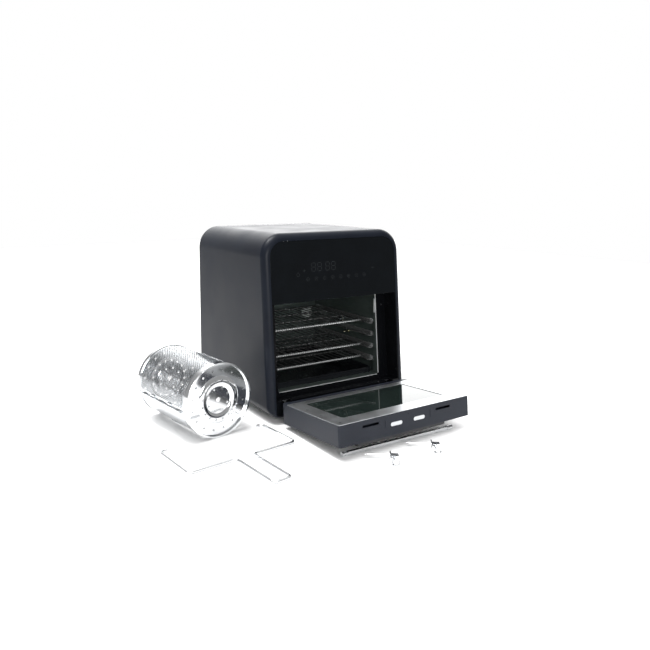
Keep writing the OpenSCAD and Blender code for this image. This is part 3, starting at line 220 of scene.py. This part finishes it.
FINISH = {
    # Spark-eroded ABS: a fine even grain that breaks the light into a soft slate sheen.
    "housing_moulding": moulded("textured_slate_ABS", "10131A", "171B23", 0.38, 0.9, 0.12, IOR=1.2),
    # Zinc coated sheet: pale grey with a faint rolled line.
    "galvanised_steel": metal("galvanised_sheet", "8A8D90", "A9ACAF", 0.42, 1.6, (1.0, 0.15, 1.0)),
    # Moulded rubber: deep grey and dull, with a dusty grain.
    "black_rubber": moulded("moulded_rubber", "0C0C0D", "17171A", 0.78, 0.8, 0.1),
    # Zinc plated screws: small bright turned faces.
    "zinc_screws": metal("zinc_plated_screw", "8C8F94", "B4B7BA", 0.30, 0.4, (1.0, 1.0, 0.2)),
    # Polished black ABS: a clean dark gloss with wiping marks.
    "gloss_black_moulding": moulded("polished_black_ABS", "08090B", "0C0D10", 0.18, 6.0, 0.02, 0.08, 0.05,
                                    IOR=1.22),
    # Back-printed glass: black under a mirror-flat face.
    "panel_glass": glass("back_printed_glass", ("090B0D", "0D1013"), 0.06, 0.0, 1.2),
    # Nylon and ABS inner parts: black with a soft sheen.
    "black_moulding": moulded("black_nylon", "0D0E10", "15171A", 0.5, 0.9, 0.08),
    # Solder resist over glass fibre: green with the weave just showing.
    "circuit_board": moulded("green_solder_resist", "0E3A26", "17553A", 0.32, 1.2, 0.08),
    # Coated steel sheet dulled by heat: dark and slightly green, with long rolled lines that catch the light.
    "cavity_steel": metal("dulled_cavity_steel", "3E4744", "5E6865", 0.34, 1.4, (1.0, 0.08, 1.0),
                          Metallic=0.6),
    # Incoloy sheath: brown-grey from heat.
    "element_sheath": metal("heat_browned_sheath", "3B332D", "6A5D52", 0.45, 1.2, (1.0, 1.0, 1.0)),
    # Pressed steel cans of the motors.
    "motor_steel": metal("plated_motor_can", "6C6E71", "8E9194", 0.38, 1.0, (1.0, 1.0, 0.1)),
    # Fired ceramic: off-white, close and matt.
    "white_ceramic": moulded("fired_ceramic", "B9B4A6", "D6D2C6", 0.55, 1.0, 0.06),
    # Pressed borosilicate, frosted inside: it gathers the little light there is and shows as a pale disc.
    "lamp_glass": glass("pressed_borosilicate", ("DDE8E2", "F2F7F4"), 0.12, 0.5, 1.47),
    # Nickel plated brass: pale and only slightly warm, with fine turning rings.
    "probe_brass": metal("nickelled_brass", "A8A48C", "CFCBB4", 0.25, 0.5, (0.3, 1.0, 1.0)),
    # Grained ABS of the door: a shade lighter than the housing.
    "door_moulding": moulded("grained_door_ABS", "1C1F26", "24272F", 0.38, 0.9, 0.1, IOR=1.27),
    # Tinted tempered glass: dark and slightly green, with a clean reflection.
    "door_glass": glass("tinted_tempered_glass", ("1C2422", "2A3431"), 0.03, 0.55),
    # Satin anodised trim: pale, with a soft long reflection.
    "satin_trim": metal("satin_anodised_trim", "B4B7BA", "DCDEE0", 0.34, 0.9, (0.05, 1.0, 1.0)),
    # Handle moulding: black and close to satin.
    "handle_moulding": moulded("satin_black_handle", "0E1013", "171A1E", 0.34, 1.0, 0.08),
    # Turned steel: bright rings round its axis.
    "turned_steel": metal("turned_bright_steel", "8E9194", "BFC2C4", 0.24, 0.5, (0.4, 1.0, 1.0)),
    # Chromed wire: painted glints in beads along the front rim, and painted shade that greys and dulls it
    # further in.
    "chromed_wire": lit_rim_shaded_depth("chrome_wire_painted_light_and_shade", -0.062, -0.058, 0.3),
    # Vitreous enamel: black, glossy and a little wavy.
    "black_enamel": moulded("vitreous_black_enamel", "0B0C0E", "131519", 0.18, 5.0, 0.1, 0.12),
    # Stainless sheet of the drum: bright and lightly brushed.
    "drum_sheet": metal("bright_stainless_sheet", "B9BCBE", "DADCDE", 0.22, 1.2, (1.0, 0.15, 1.0)),
    # Mirror polished stainless: reflects almost cleanly, with a slight wave.
    "polished_disc": metal("mirror_polished_stainless", "DADCDE", "EEEFF0", 0.1, 30.0, (1.0, 1.0, 1.0), 0.1,
                           0.03),
    # Bright drawn stainless of the spit set.
    "spit_steel": metal("bright_drawn_stainless", "D2D4D6", "ECEDEE", 0.26, 0.8, (1.0, 1.0, 1.0), 0.1, 0.05),
}


def paint(obj, mat):
    obj.data.materials.clear()
    obj.data.materials.append(mat)


OWN_FINISH = {
    # Runner sheet: painted light on its ends at the doorway and painted shade along the walls, with painted
    # glints in beads.
    "rack_runners": lit_rim_shaded_depth("runner_sheet_painted_light_and_shade", -0.088, -0.08, 0.34),
    # The plunger is painted black so that no pale dot shows at the switch, though its slot is the ceramic one.
    "switch_plunger": FINISH["black_moulding"],
}
for name, obj in nodes.items():
    paint(obj, OWN_FINISH[name] if name in OWN_FINISH else FINISH[SLOT_OF[name]])


# ---------- shape helpers ----------

def leaned(x, y, z):
    """A point of the leaning front, in millimetres, as a place in metres."""
    return Vector((x, -HALF_D + y * math.cos(LEAN) + z * math.sin(LEAN),
                   z * math.cos(LEAN) - y * math.sin(LEAN))) * MM


def drum_matrix():
    """From the drum's own frame, z along its axis from the rear disc, to its place on the worktop."""
    return (Matrix.Translation(Vector((-HALF_W - 114.5, -HALF_D + 97.6, DRUM_R)) * MM)
            @ Matrix.Rotation(math.radians(-81.6), 4, "Z") @ Matrix.Rotation(math.pi / 2, 4, "Y")
            @ Matrix.Translation((0, 0, -DRUM_L / 2 * MM)))


def crease(mesh):
    """Shades a mesh smooth, except where its faces meet above the sharp angle."""
    mesh.shade_smooth()
    mesh.set_sharp_from_angle(angle=SHARP)


def link_mesh(name, bm):
    """A mesh object made from bm."""
    mesh = bpy.data.meshes.new(name)
    bm.normal_update()
    bm.to_mesh(mesh)
    bm.free()
    crease(mesh)
    obj = bpy.data.objects.new(name, mesh)
    bpy.context.scene.collection.objects.link(obj)
    return obj


def apply_modifiers(obj):
    """Leaves an object with the plain mesh that its modifiers make."""
    depsgraph = bpy.context.evaluated_depsgraph_get()
    depsgraph.update()
    mesh = bpy.data.meshes.new_from_object(obj.evaluated_get(depsgraph), depsgraph=depsgraph)
    obj.modifiers.clear()
    obj.data = mesh


def settle(obj):
    """Applies an object's modifiers and marks its sharp edges anew."""
    apply_modifiers(obj)
    crease(obj.data)


def even(obj):
    """Weighs each corner's normal towards its larger faces, so flat faces stay flat beside rounded ones."""
    weigh = obj.modifiers.new("even_normals", "WEIGHTED_NORMAL")
    weigh.keep_sharp = True
    weigh.weight = 80
    apply_modifiers(obj)
    return obj


def fit(obj, *stands_for, body=None, slot=None, mat=None):
    """Puts a finished piece on its body, in its finish, for the nodes that it stands for."""
    first = stands_for[0] if stands_for else None
    slot = slot or SLOT_OF[first]
    paint(obj, mat or FINISH[slot])
    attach(obj, body or nodes[first]["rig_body"])
    if stands_for:
        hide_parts(*stands_for)


def soften(node, width_mm):
    """The node's own shape with its sharp edges rounded, as a moulding or a deburred sheet has them."""
    weld, flat, rounded_above = 2e-6, math.radians(0.6), math.radians(40)
    bm = bmesh.new()
    bm.from_mesh(nodes[node].data)
    bmesh.ops.remove_doubles(bm, verts=bm.verts, dist=weld)
    bmesh.ops.dissolve_limit(bm, angle_limit=flat, verts=bm.verts, edges=bm.edges)
    obj = link_mesh(node + "_finished", bm)
    edge = obj.modifiers.new("edges", "BEVEL")
    edge.width = width_mm * MM
    edge.segments = 2
    edge.limit_method = "ANGLE"
    edge.angle_limit = rounded_above
    edge.use_clamp_overlap = True
    settle(obj)
    fit(even(obj), node)


def grid_solid(bm, rings):
    """Joins rings of equal count into one closed band, the last ring back to the first."""
    rows = [[bm.verts.new(p) for p in ring] for ring in rings]
    count = len(rows[0])
    for k in range(len(rows)):
        a, b = rows[k], rows[(k + 1) % len(rows)]
        for i in range(count):
            j = (i + 1) % count
            bm.faces.new((a[i], a[j], b[j], b[i]))
    bmesh.ops.recalc_face_normals(bm, faces=bm.faces)


def rod(bm, start, end, radius, sides=20):
    """A round bar with closed ends, from start to end."""
    start, end = Vector(start), Vector(end)
    turn = (end - start).to_track_quat("Z", "Y").to_matrix().to_4x4()
    bmesh.ops.create_cone(bm, cap_ends=True, segments=sides, radius1=radius, radius2=radius,
                          depth=(end - start).length, matrix=Matrix.Translation((start + end) / 2) @ turn)


# ---------- housing ----------

def corners(hw, low, top, r_up, r_low, steps=20):
    """An upright outline with rounded corners, from the right upper corner round to the right lower one."""
    points = []
    for cx, cz, r, start in ((hw - r_up, top - r_up, r_up, 0), (r_up - hw, top - r_up, r_up, 90),
                             (r_low - hw, low + r_low, r_low, 180), (hw - r_low, low + r_low, r_low, 270)):
        for i in range(steps + 1):
            a = math.radians(start + 90 * i / steps)
            points.append((cx + r * math.cos(a), cz + r * math.sin(a)))
    return points


def housing():
    """One moulding: flat sides, rounded edges, a lip rolled into the front opening, and the screw bosses."""
    def skin(t, e):
        return corners(HALF_W - t - e, FOOT + t + e * LOW_LIP, TALL - t - e, TOP_R - t - e, LOW_R - t - e)

    def lip(t, turn):
        a = math.radians(turn)
        y = t + (LIP_R - t) * (1 - math.cos(a))
        return [Vector((x, -HALF_D + y + z * math.tan(LEAN), z)) * MM
                for x, z in skin(t, (LIP_R - t) * (1 - math.sin(a)))]

    def mouth(y):
        return [leaned(x, y, z) for x, z in corners(OPEN_HW, OPEN_LOW, OPEN_TOP, OPEN_R, 4.0)]

    def rear(t, y):
        return [Vector((x, y, z)) * MM for x, z in skin(t, 0.0)]

    turns = [90 * k / 10 for k in range(11)]
    rear_edge = 0.8
    slot_hw, slot_from, slot_to = 6, (-4, FOOT - 3), (17, 20)
    screw_bosses = ((158.5, 108.0), (158.5, 259.2), (89.1, 353.5), (99.0, 18.5))
    boss_r, boss_y = 5, (140, 154)
    bm = bmesh.new()
    grid_solid(bm, [mouth(0.0)] + [lip(0.0, a) for a in turns]
               + [rear(0.0, HALF_D - rear_edge), rear(rear_edge, HALF_D)]
               + [rear(WALL, HALF_D)] + [lip(WALL, a) for a in reversed(turns)] + [mouth(WALL + 0.3)])
    obj = link_mesh("housing", bm)
    cut = bmesh.new()
    for side in (-1, 1):
        low = leaned(side * HINGE_X - slot_hw, *slot_from)
        high = leaned(side * HINGE_X + slot_hw, *slot_to)
        bmesh.ops.create_cube(cut, size=1.0, matrix=Matrix.Translation((low + high) / 2)
                              @ Matrix.Diagonal((*(high - low), 1.0)))
    cutter = link_mesh("hinge_slot_cutter", cut)
    slots = obj.modifiers.new("hinge_slots", "BOOLEAN")
    slots.operation, slots.solver, slots.object = "DIFFERENCE", "EXACT", cutter
    settle(obj)
    bpy.data.objects.remove(cutter)
    bosses = bmesh.new()
    bosses.from_mesh(obj.data)
    for x, z in screw_bosses:
        for side in (-1, 1):
            rod(bosses, *(Vector((side * x, y, z)) * MM for y in boss_y), boss_r * MM)
    bosses.to_mesh(obj.data)
    bosses.free()
    crease(obj.data)
    fit(even(obj), "housing_shell")


# ---------- drum ----------

def perforating_tree():
    """A sheet of staggered six-sided holes, rolled round a radius. Its inputs are the sheet's own sizes."""
    tree = bpy.data.node_groups.new("perforated_sheet", "GeometryNodeTree")
    face = tree.interface
    face.new_socket("Geometry", in_out="INPUT", socket_type="NodeSocketGeometry")
    for name in ("Width", "Length", "Pitch", "Hole Share", "Radius", "Start Angle", "Margin"):
        face.new_socket(name, in_out="INPUT", socket_type="NodeSocketFloat")
    face.new_socket("Material", in_out="INPUT", socket_type="NodeSocketMaterial")
    face.new_socket("Geometry", in_out="OUTPUT", socket_type="NodeSocketGeometry")
    size = add(tree, "NodeGroupInput").outputs

    def calc(operation, *values):
        return add(tree, "ShaderNodeMath", dict(enumerate(values)), operation=operation).outputs[0]

    row = calc("MULTIPLY", size["Pitch"], math.sqrt(0.75))
    across = calc("ROUND", calc("DIVIDE", size["Width"], size["Pitch"]))
    along = calc("ROUND", calc("DIVIDE", size["Length"], row))
    grid = add(tree, "GeometryNodeMeshGrid", {"Size X": size["Width"], "Size Y": size["Length"],
                                              "Vertices X": calc("ADD", across, 1.0),
                                              "Vertices Y": calc("ADD", along, 1.0)})
    place = add(tree, "ShaderNodeSeparateXYZ", {0: add(tree, "GeometryNodeInputPosition").outputs[0]})
    half_l = calc("DIVIDE", size["Length"], 2.0)
    number = calc("ROUND", calc("MULTIPLY", calc("DIVIDE", calc("ADD", place.outputs["Y"], half_l),
                                                 size["Length"]), along))
    odd = calc("MODULO", number, 2.0)
    shift = add(tree, "ShaderNodeCombineXYZ", {"X": calc("MULTIPLY", calc("SUBTRACT", odd, 0.5),
                                                         calc("MULTIPLY", size["Pitch"], 0.5))})
    staggered = add(tree, "GeometryNodeSetPosition", {"Geometry": grid.outputs["Mesh"],
                                                      "Offset": shift.outputs[0]})
    threes = add(tree, "GeometryNodeTriangulate", {"Mesh": staggered.outputs[0]},
                 quad_method="SHORTEST_DIAGONAL")
    cells = add(tree, "GeometryNodeDualMesh", {"Mesh": threes.outputs[0], "Keep Boundaries": True})
    half_w = calc("DIVIDE", size["Width"], 2.0)
    in_x = calc("LESS_THAN", calc("ABSOLUTE", place.outputs["X"]), calc("SUBTRACT", half_w, size["Margin"]))
    in_y = calc("LESS_THAN", calc("ABSOLUTE", place.outputs["Y"]), calc("SUBTRACT", half_l, size["Margin"]))
    inner = calc("MULTIPLY", in_x, in_y)
    raised = add(tree, "GeometryNodeExtrudeMesh", {"Mesh": cells.outputs[0], "Selection": inner,
                                                   "Offset Scale": 0.0, "Individual": True}, mode="FACES")
    drawn = add(tree, "GeometryNodeScaleElements", {"Geometry": raised.outputs["Mesh"],
                                                    "Selection": raised.outputs["Top"],
                                                    "Scale": size["Hole Share"]}, domain="FACE")
    pierced = add(tree, "GeometryNodeDeleteGeometry", {"Geometry": drawn.outputs[0],
                                                       "Selection": raised.outputs["Top"]}, domain="FACE")
    flat_x = calc("MINIMUM", calc("MAXIMUM", place.outputs["X"], calc("MULTIPLY", half_w, -1.0)), half_w)
    angle = calc("ADD", size["Start Angle"], calc("DIVIDE", calc("ADD", flat_x, half_w), size["Radius"]))
    rolled = add(tree, "ShaderNodeCombineXYZ", {"X": calc("MULTIPLY", size["Radius"], calc("COSINE", angle)),
                                                "Y": calc("MULTIPLY", size["Radius"], calc("SINE", angle)),
                                                "Z": place.outputs["Y"]})
    wall = add(tree, "GeometryNodeSetPosition", {"Geometry": pierced.outputs[0],
                                                 "Position": rolled.outputs[0]})
    merged = add(tree, "GeometryNodeMergeByDistance", {"Geometry": wall.outputs[0], "Distance": 1e-6})
    real = add(tree, "GeometryNodeRealizeInstances", {"Geometry": merged.outputs[0]})
    done = add(tree, "GeometryNodeSetMaterial", {"Geometry": real.outputs[0], "Material": size["Material"]})
    add(tree, "NodeGroupOutput", {"Geometry": done.outputs[0]})
    return tree


def arc_band(bm, a0, a1, z0, z1, steps=48):
    """A plain strip of the drum's sheet between two angles and two heights; a full turn closes on itself."""
    full = a1 - a0 >= 360
    outer, inner = DRUM_WALL_R * MM, (DRUM_WALL_R - SHEET) * MM
    rows = []
    for i in range(steps if full else steps + 1):
        a = math.radians(a0 + (a1 - a0) * i / steps)
        rows.append([bm.verts.new((r * math.cos(a), r * math.sin(a), z * MM))
                     for r, z in ((outer, z0), (outer, z1), (inner, z1), (inner, z0))])
    for i in range(steps):
        a, b = rows[i], rows[(i + 1) % len(rows)]
        for k in range(4):
            bm.faces.new((a[k], b[k], b[(k + 1) % 4], a[(k + 1) % 4]))
    if not full:
        bm.faces.new(rows[0])
        bm.faces.new(reversed(rows[-1]))


def drum_wall():
    """The perforated wall, its plain ends, and the knuckles and pin that its flap swings on."""
    edge, gap, disc_t = 10.0, 0.6, 1.2
    pin_r, knuckle_r, knuckle_l = 0.9, 1.7, 14
    turn = 360 + FLAP_FROM - FLAP_TO - 2 * gap
    sheet = link_mesh("drum_wall", bmesh.new())
    holes = sheet.modifiers.new("holes", "NODES")
    holes.node_group = perforating_tree()
    sizes = {"Width": math.radians(turn) * DRUM_WALL_R * MM, "Length": (DRUM_L - 2 * edge) * MM,
             "Pitch": 3.9 * MM, "Hole Share": 0.8, "Radius": DRUM_WALL_R * MM,
             "Start Angle": math.radians(FLAP_TO + gap), "Margin": 5.0 * MM, "Material": FINISH["drum_sheet"]}
    for item in holes.node_group.interface.items_tree:
        if item.item_type == "SOCKET" and item.in_out == "INPUT" and item.name in sizes:
            holes[item.identifier] = sizes[item.name]
    thick = sheet.modifiers.new("sheet", "SOLIDIFY")
    thick.thickness, thick.offset = SHEET * MM, -1.0
    settle(sheet)
    bm = bmesh.new()
    bm.from_mesh(sheet.data)
    bmesh.ops.translate(bm, verts=bm.verts, vec=(0, 0, DRUM_L / 2 * MM))
    if bm.calc_volume(signed=True) < 0:
        bmesh.ops.reverse_faces(bm, faces=bm.faces)
    plain = bmesh.new()
    arc_band(plain, 0, 360, disc_t, edge, 96)
    arc_band(plain, 0, 360, DRUM_L - edge, DRUM_L - disc_t, 96)
    for z0, z1 in ((edge, FLAP_END), (DRUM_L - FLAP_END, DRUM_L - edge)):
        arc_band(plain, FLAP_FROM - gap, FLAP_TO + gap, z0, z1, 16)
    a = math.radians(FLAP_FROM)
    pin = Vector((math.cos(a), math.sin(a), 0)) * (DRUM_R + gap) * MM
    step = (DRUM_L - 2 * FLAP_END - 30) / 4
    rod(plain, pin + Vector((0, 0, (FLAP_END + 6) * MM)), pin + Vector((0, 0, (DRUM_L - FLAP_END - 4) * MM)),
        pin_r * MM)
    for k in (1, 3):
        z = FLAP_END + 8 + k * step
        rod(plain, pin + Vector((0, 0, z * MM)), pin + Vector((0, 0, (z + knuckle_l) * MM)), knuckle_r * MM)
        foot = Vector((DRUM_WALL_R + 0.4, -3.4, z + knuckle_l / 2)) * MM
        size = Matrix.Diagonal((2.2 * MM, 4.2 * MM, knuckle_l * MM, 1.0))
        bmesh.ops.create_cube(plain, size=1.0,
                              matrix=Matrix.Rotation(a, 4, "Z") @ Matrix.Translation(foot) @ size)
    bmesh.ops.recalc_face_normals(plain, faces=plain.faces)
    extra = bpy.data.meshes.new("plain")
    plain.to_mesh(extra)
    plain.free()
    bm.from_mesh(extra)
    bpy.data.meshes.remove(extra)
    bm.to_mesh(sheet.data)
    bm.free()
    sheet.data.transform(drum_matrix())
    crease(sheet.data)
    fit(sheet, "drum_mesh")


# ---------- control panel marks ----------

def panel_marks():
    """Faint touch marks and a sleeping display printed behind the panel glass: rings and bars."""
    bm = bmesh.new()
    face, thick = 0.3, 0.06
    key_z, digit_z = PANEL_Z + 43, PANEL_Z + 66
    plus_x, plus_z, minus_x, minus_z = -76, PANEL_Z + 60, 91, PANEL_Z + 56
    power_x, power_z = -90, PANEL_Z + 53

    def plate(points):
        low = [bm.verts.new(leaned(x, face - 0.02, z)) for x, z in points]
        high = [bm.verts.new(leaned(x, face - thick, z)) for x, z in points]
        bm.faces.new(low)
        bm.faces.new(list(reversed(high)))
        for i in range(len(points)):
            j = (i + 1) % len(points)
            bm.faces.new((low[j], low[i], high[i], high[j]))

    def bar(x, z, w, h):
        left, right, low, high = x - w / 2, x + w / 2, z - h / 2, z + h / 2
        plate([(left, low), (right, low), (right, high), (left, high)])

    def ring(x, z, r, w, n=20, a0=0.0, a1=360.0):
        for i in range(n):
            a, b = (math.radians(a0 + (a1 - a0) * k / n) for k in (i, i + 1))
            plate([(x + q * math.cos(c), z + q * math.sin(c))
                   for q, c in ((r, a), (r, b), (r - w, b), (r - w, a))])

    for i in range(8):
        x = -68 + 19.5 * i
        ring(x, key_z, 3.6, 0.5)
        bar(x, key_z, 3.2, 0.6)
        if i % 2:
            bar(x, key_z, 0.6, 3.2)
    for k in range(4):
        x = -54 + 14 * k + (5 if k > 1 else 0)
        for z in (-8, 0, 8):
            bar(x, digit_z + z, 7.0, 0.9)
        for sx in (-4.4, 4.4):
            for z in (-4, 4):
                bar(x + sx, digit_z + z, 0.9, 6.0)
    bar(plus_x, plus_z, 6.0, 0.8)
    bar(plus_x, plus_z, 0.8, 6.0)
    bar(minus_x, minus_z, 7.0, 0.9)
    ring(power_x, power_z, 3.6, 0.6, 18, 110, 430)
    bar(power_x, power_z + 4, 0.8, 3.2)
    bmesh.ops.recalc_face_normals(bm, faces=bm.faces)
    # Screen print under glass: grey marks a little lighter than the black round them.
    print_grey = moulded("screen_printed_marks", "1B1E20", "24282A", 0.2, 2.0, 0.01, 0.05)
    fit(link_mesh("panel_marks", bm), body="oven", slot="panel_glass", mat=print_grey)


# ---------- doorway ----------

def doorway_lip():
    """The liner's edge folded forward round the doorway, its bright hem, and the latch plate on its right."""
    half, r_up, r_low = 124.95, 5.0, 1.2
    liner_y, flange, flange_t = -102.1, 8.4, 0.7
    fold_y, fold_t, hem_from, hem_to, hem_t = 39.0, 0.6, 37.1, 38.95, 0.7
    latch_at, latch_size = (123.9, -104.7, 194), (0.8, 4.4, 30)

    def outline(low, top, inset, out=0.0):
        return corners(half - inset + out, low + inset - out / 6, top - inset + out / 6, r_up - inset,
                       r_low - inset, 8)

    def mouth(y, inset):
        return [leaned(x, y, z) for x, z in outline(50.2, 225.9, inset)]

    def ring(y, inset, out=0.0):
        return [Vector((x, y, z)) * MM for x, z in outline(46.85, 221.6, inset, out)]

    fold = bmesh.new()
    grid_solid(fold, [mouth(fold_y, 0), mouth(fold_y, fold_t), ring(liner_y, fold_t),
                      ring(liner_y, 0, flange), ring(liner_y - flange_t, 0, flange),
                      ring(liner_y - flange_t, 0)])
    hem = bmesh.new()
    grid_solid(hem, [mouth(hem_from, 0), mouth(hem_to, hem_t), mouth(hem_to, 0)])
    bmesh.ops.create_cube(hem, size=1.0, matrix=Matrix.Translation(Vector(latch_at) * MM)
                          @ Matrix.Diagonal((*(Vector(latch_size) * MM), 1.0)))
    fit(link_mesh("doorway_lip", fold), body="oven", slot="cavity_steel")
    # Raw sheet edge: pale and soft, so it stays a clear thin line round the dark cavity.
    raw = metal("raw_sheet_edge", "C9CCCD", "E6E8E8", 0.4, 0.8, (1.0, 1.0, 1.0), Metallic=0.35)
    fit(link_mesh("doorway_hem", hem), body="oven", slot="satin_trim", mat=raw)


# ---------- assembly ----------

housing()
doorway_lip()
drum_wall()
panel_marks()
ROUNDED_MM = {"front_fascia": 0.6, "sill_panel": 0.8, "control_panel_glass": 0.5, "door_frame": 0.9,
              "door_handle": 1.2, "door_inner_trim": 0.25, "back_cover": 0.5, "drip_tray": 0.4,
              "door_inner_glass": 0.4, "rubber_feet": 0.6, "drum_front_disc": 0.12, "drum_rear_disc": 0.12}
for name, width in ROUNDED_MM.items():
    soften(name, width)


# ---------- worktop and studio ----------

def studio():
    bm = bmesh.new()
    bm.faces.new([bm.verts.new(p) for p in ((-3, -1, 0), (3, -1, 0), (3, 4, 0), (-3, 4, 0))])
    floor = link_mesh("worktop", bm)
    paint(floor, moulded("white_laminate", "E9E9E9", "EFEFEF", 0.55, 3.0, 0.02, 0.05))
    world = bpy.data.worlds.new("studio_world")
    bpy.context.scene.world = world
    world.use_nodes = True
    tree = world.node_tree
    sky = tree.nodes["Background"]
    around = add(tree, "ShaderNodeTexCoord").outputs["Generated"]
    # A bright wall behind and to the right, a soft light overhead, and a dim room in front.
    facing = add(tree, "ShaderNodeVectorMath", {0: around, 1: (0.55, 0.83, 0.1)}, operation="DOT_PRODUCT")
    wall = add(tree, "ShaderNodeMapRange", {"Value": facing.outputs["Value"], "From Min": 0.55,
                                            "From Max": 0.97, "To Min": 0.36, "To Max": 3.6},
               interpolation_type="SMOOTHSTEP")
    height = add(tree, "ShaderNodeSeparateXYZ", {0: around}).outputs["Z"]
    above = add(tree, "ShaderNodeMapRange", {"Value": height, "From Min": 0.5, "From Max": 0.95,
                                             "To Min": 0.05, "To Max": 1.7}, interpolation_type="SMOOTHSTEP")
    both = add(tree, "ShaderNodeMath", {0: wall.outputs[0], 1: above.outputs[0]}, operation="MAXIMUM")
    seen = add(tree, "ShaderNodeLightPath")
    level = add(tree, "ShaderNodeMix", {0: seen.outputs["Is Camera Ray"], 2: both.outputs[0], 3: 1.0})
    tree.links.new(level.outputs[0], sky.inputs["Strength"])
    sky.inputs["Color"].default_value = (1.0, 1.0, 1.0, 1.0)
    lamp("key_sun", "SUN", (-0.8, -0.2, 2.6), (0, 0, 0), 1.2, angle=math.radians(35))
    lamp("top_softbox", "AREA", (-0.5, 0.15, 1.7), (-0.1, -0.1, 0.2), 34, shape="RECTANGLE", size=0.7,
         size_y=0.6)
    lamp("front_fill", "AREA", (-0.9, -2.2, 0.7), (0.0, 0.0, 0.12), 30, shape="RECTANGLE", size=0.8,
         size_y=0.8)


studio()
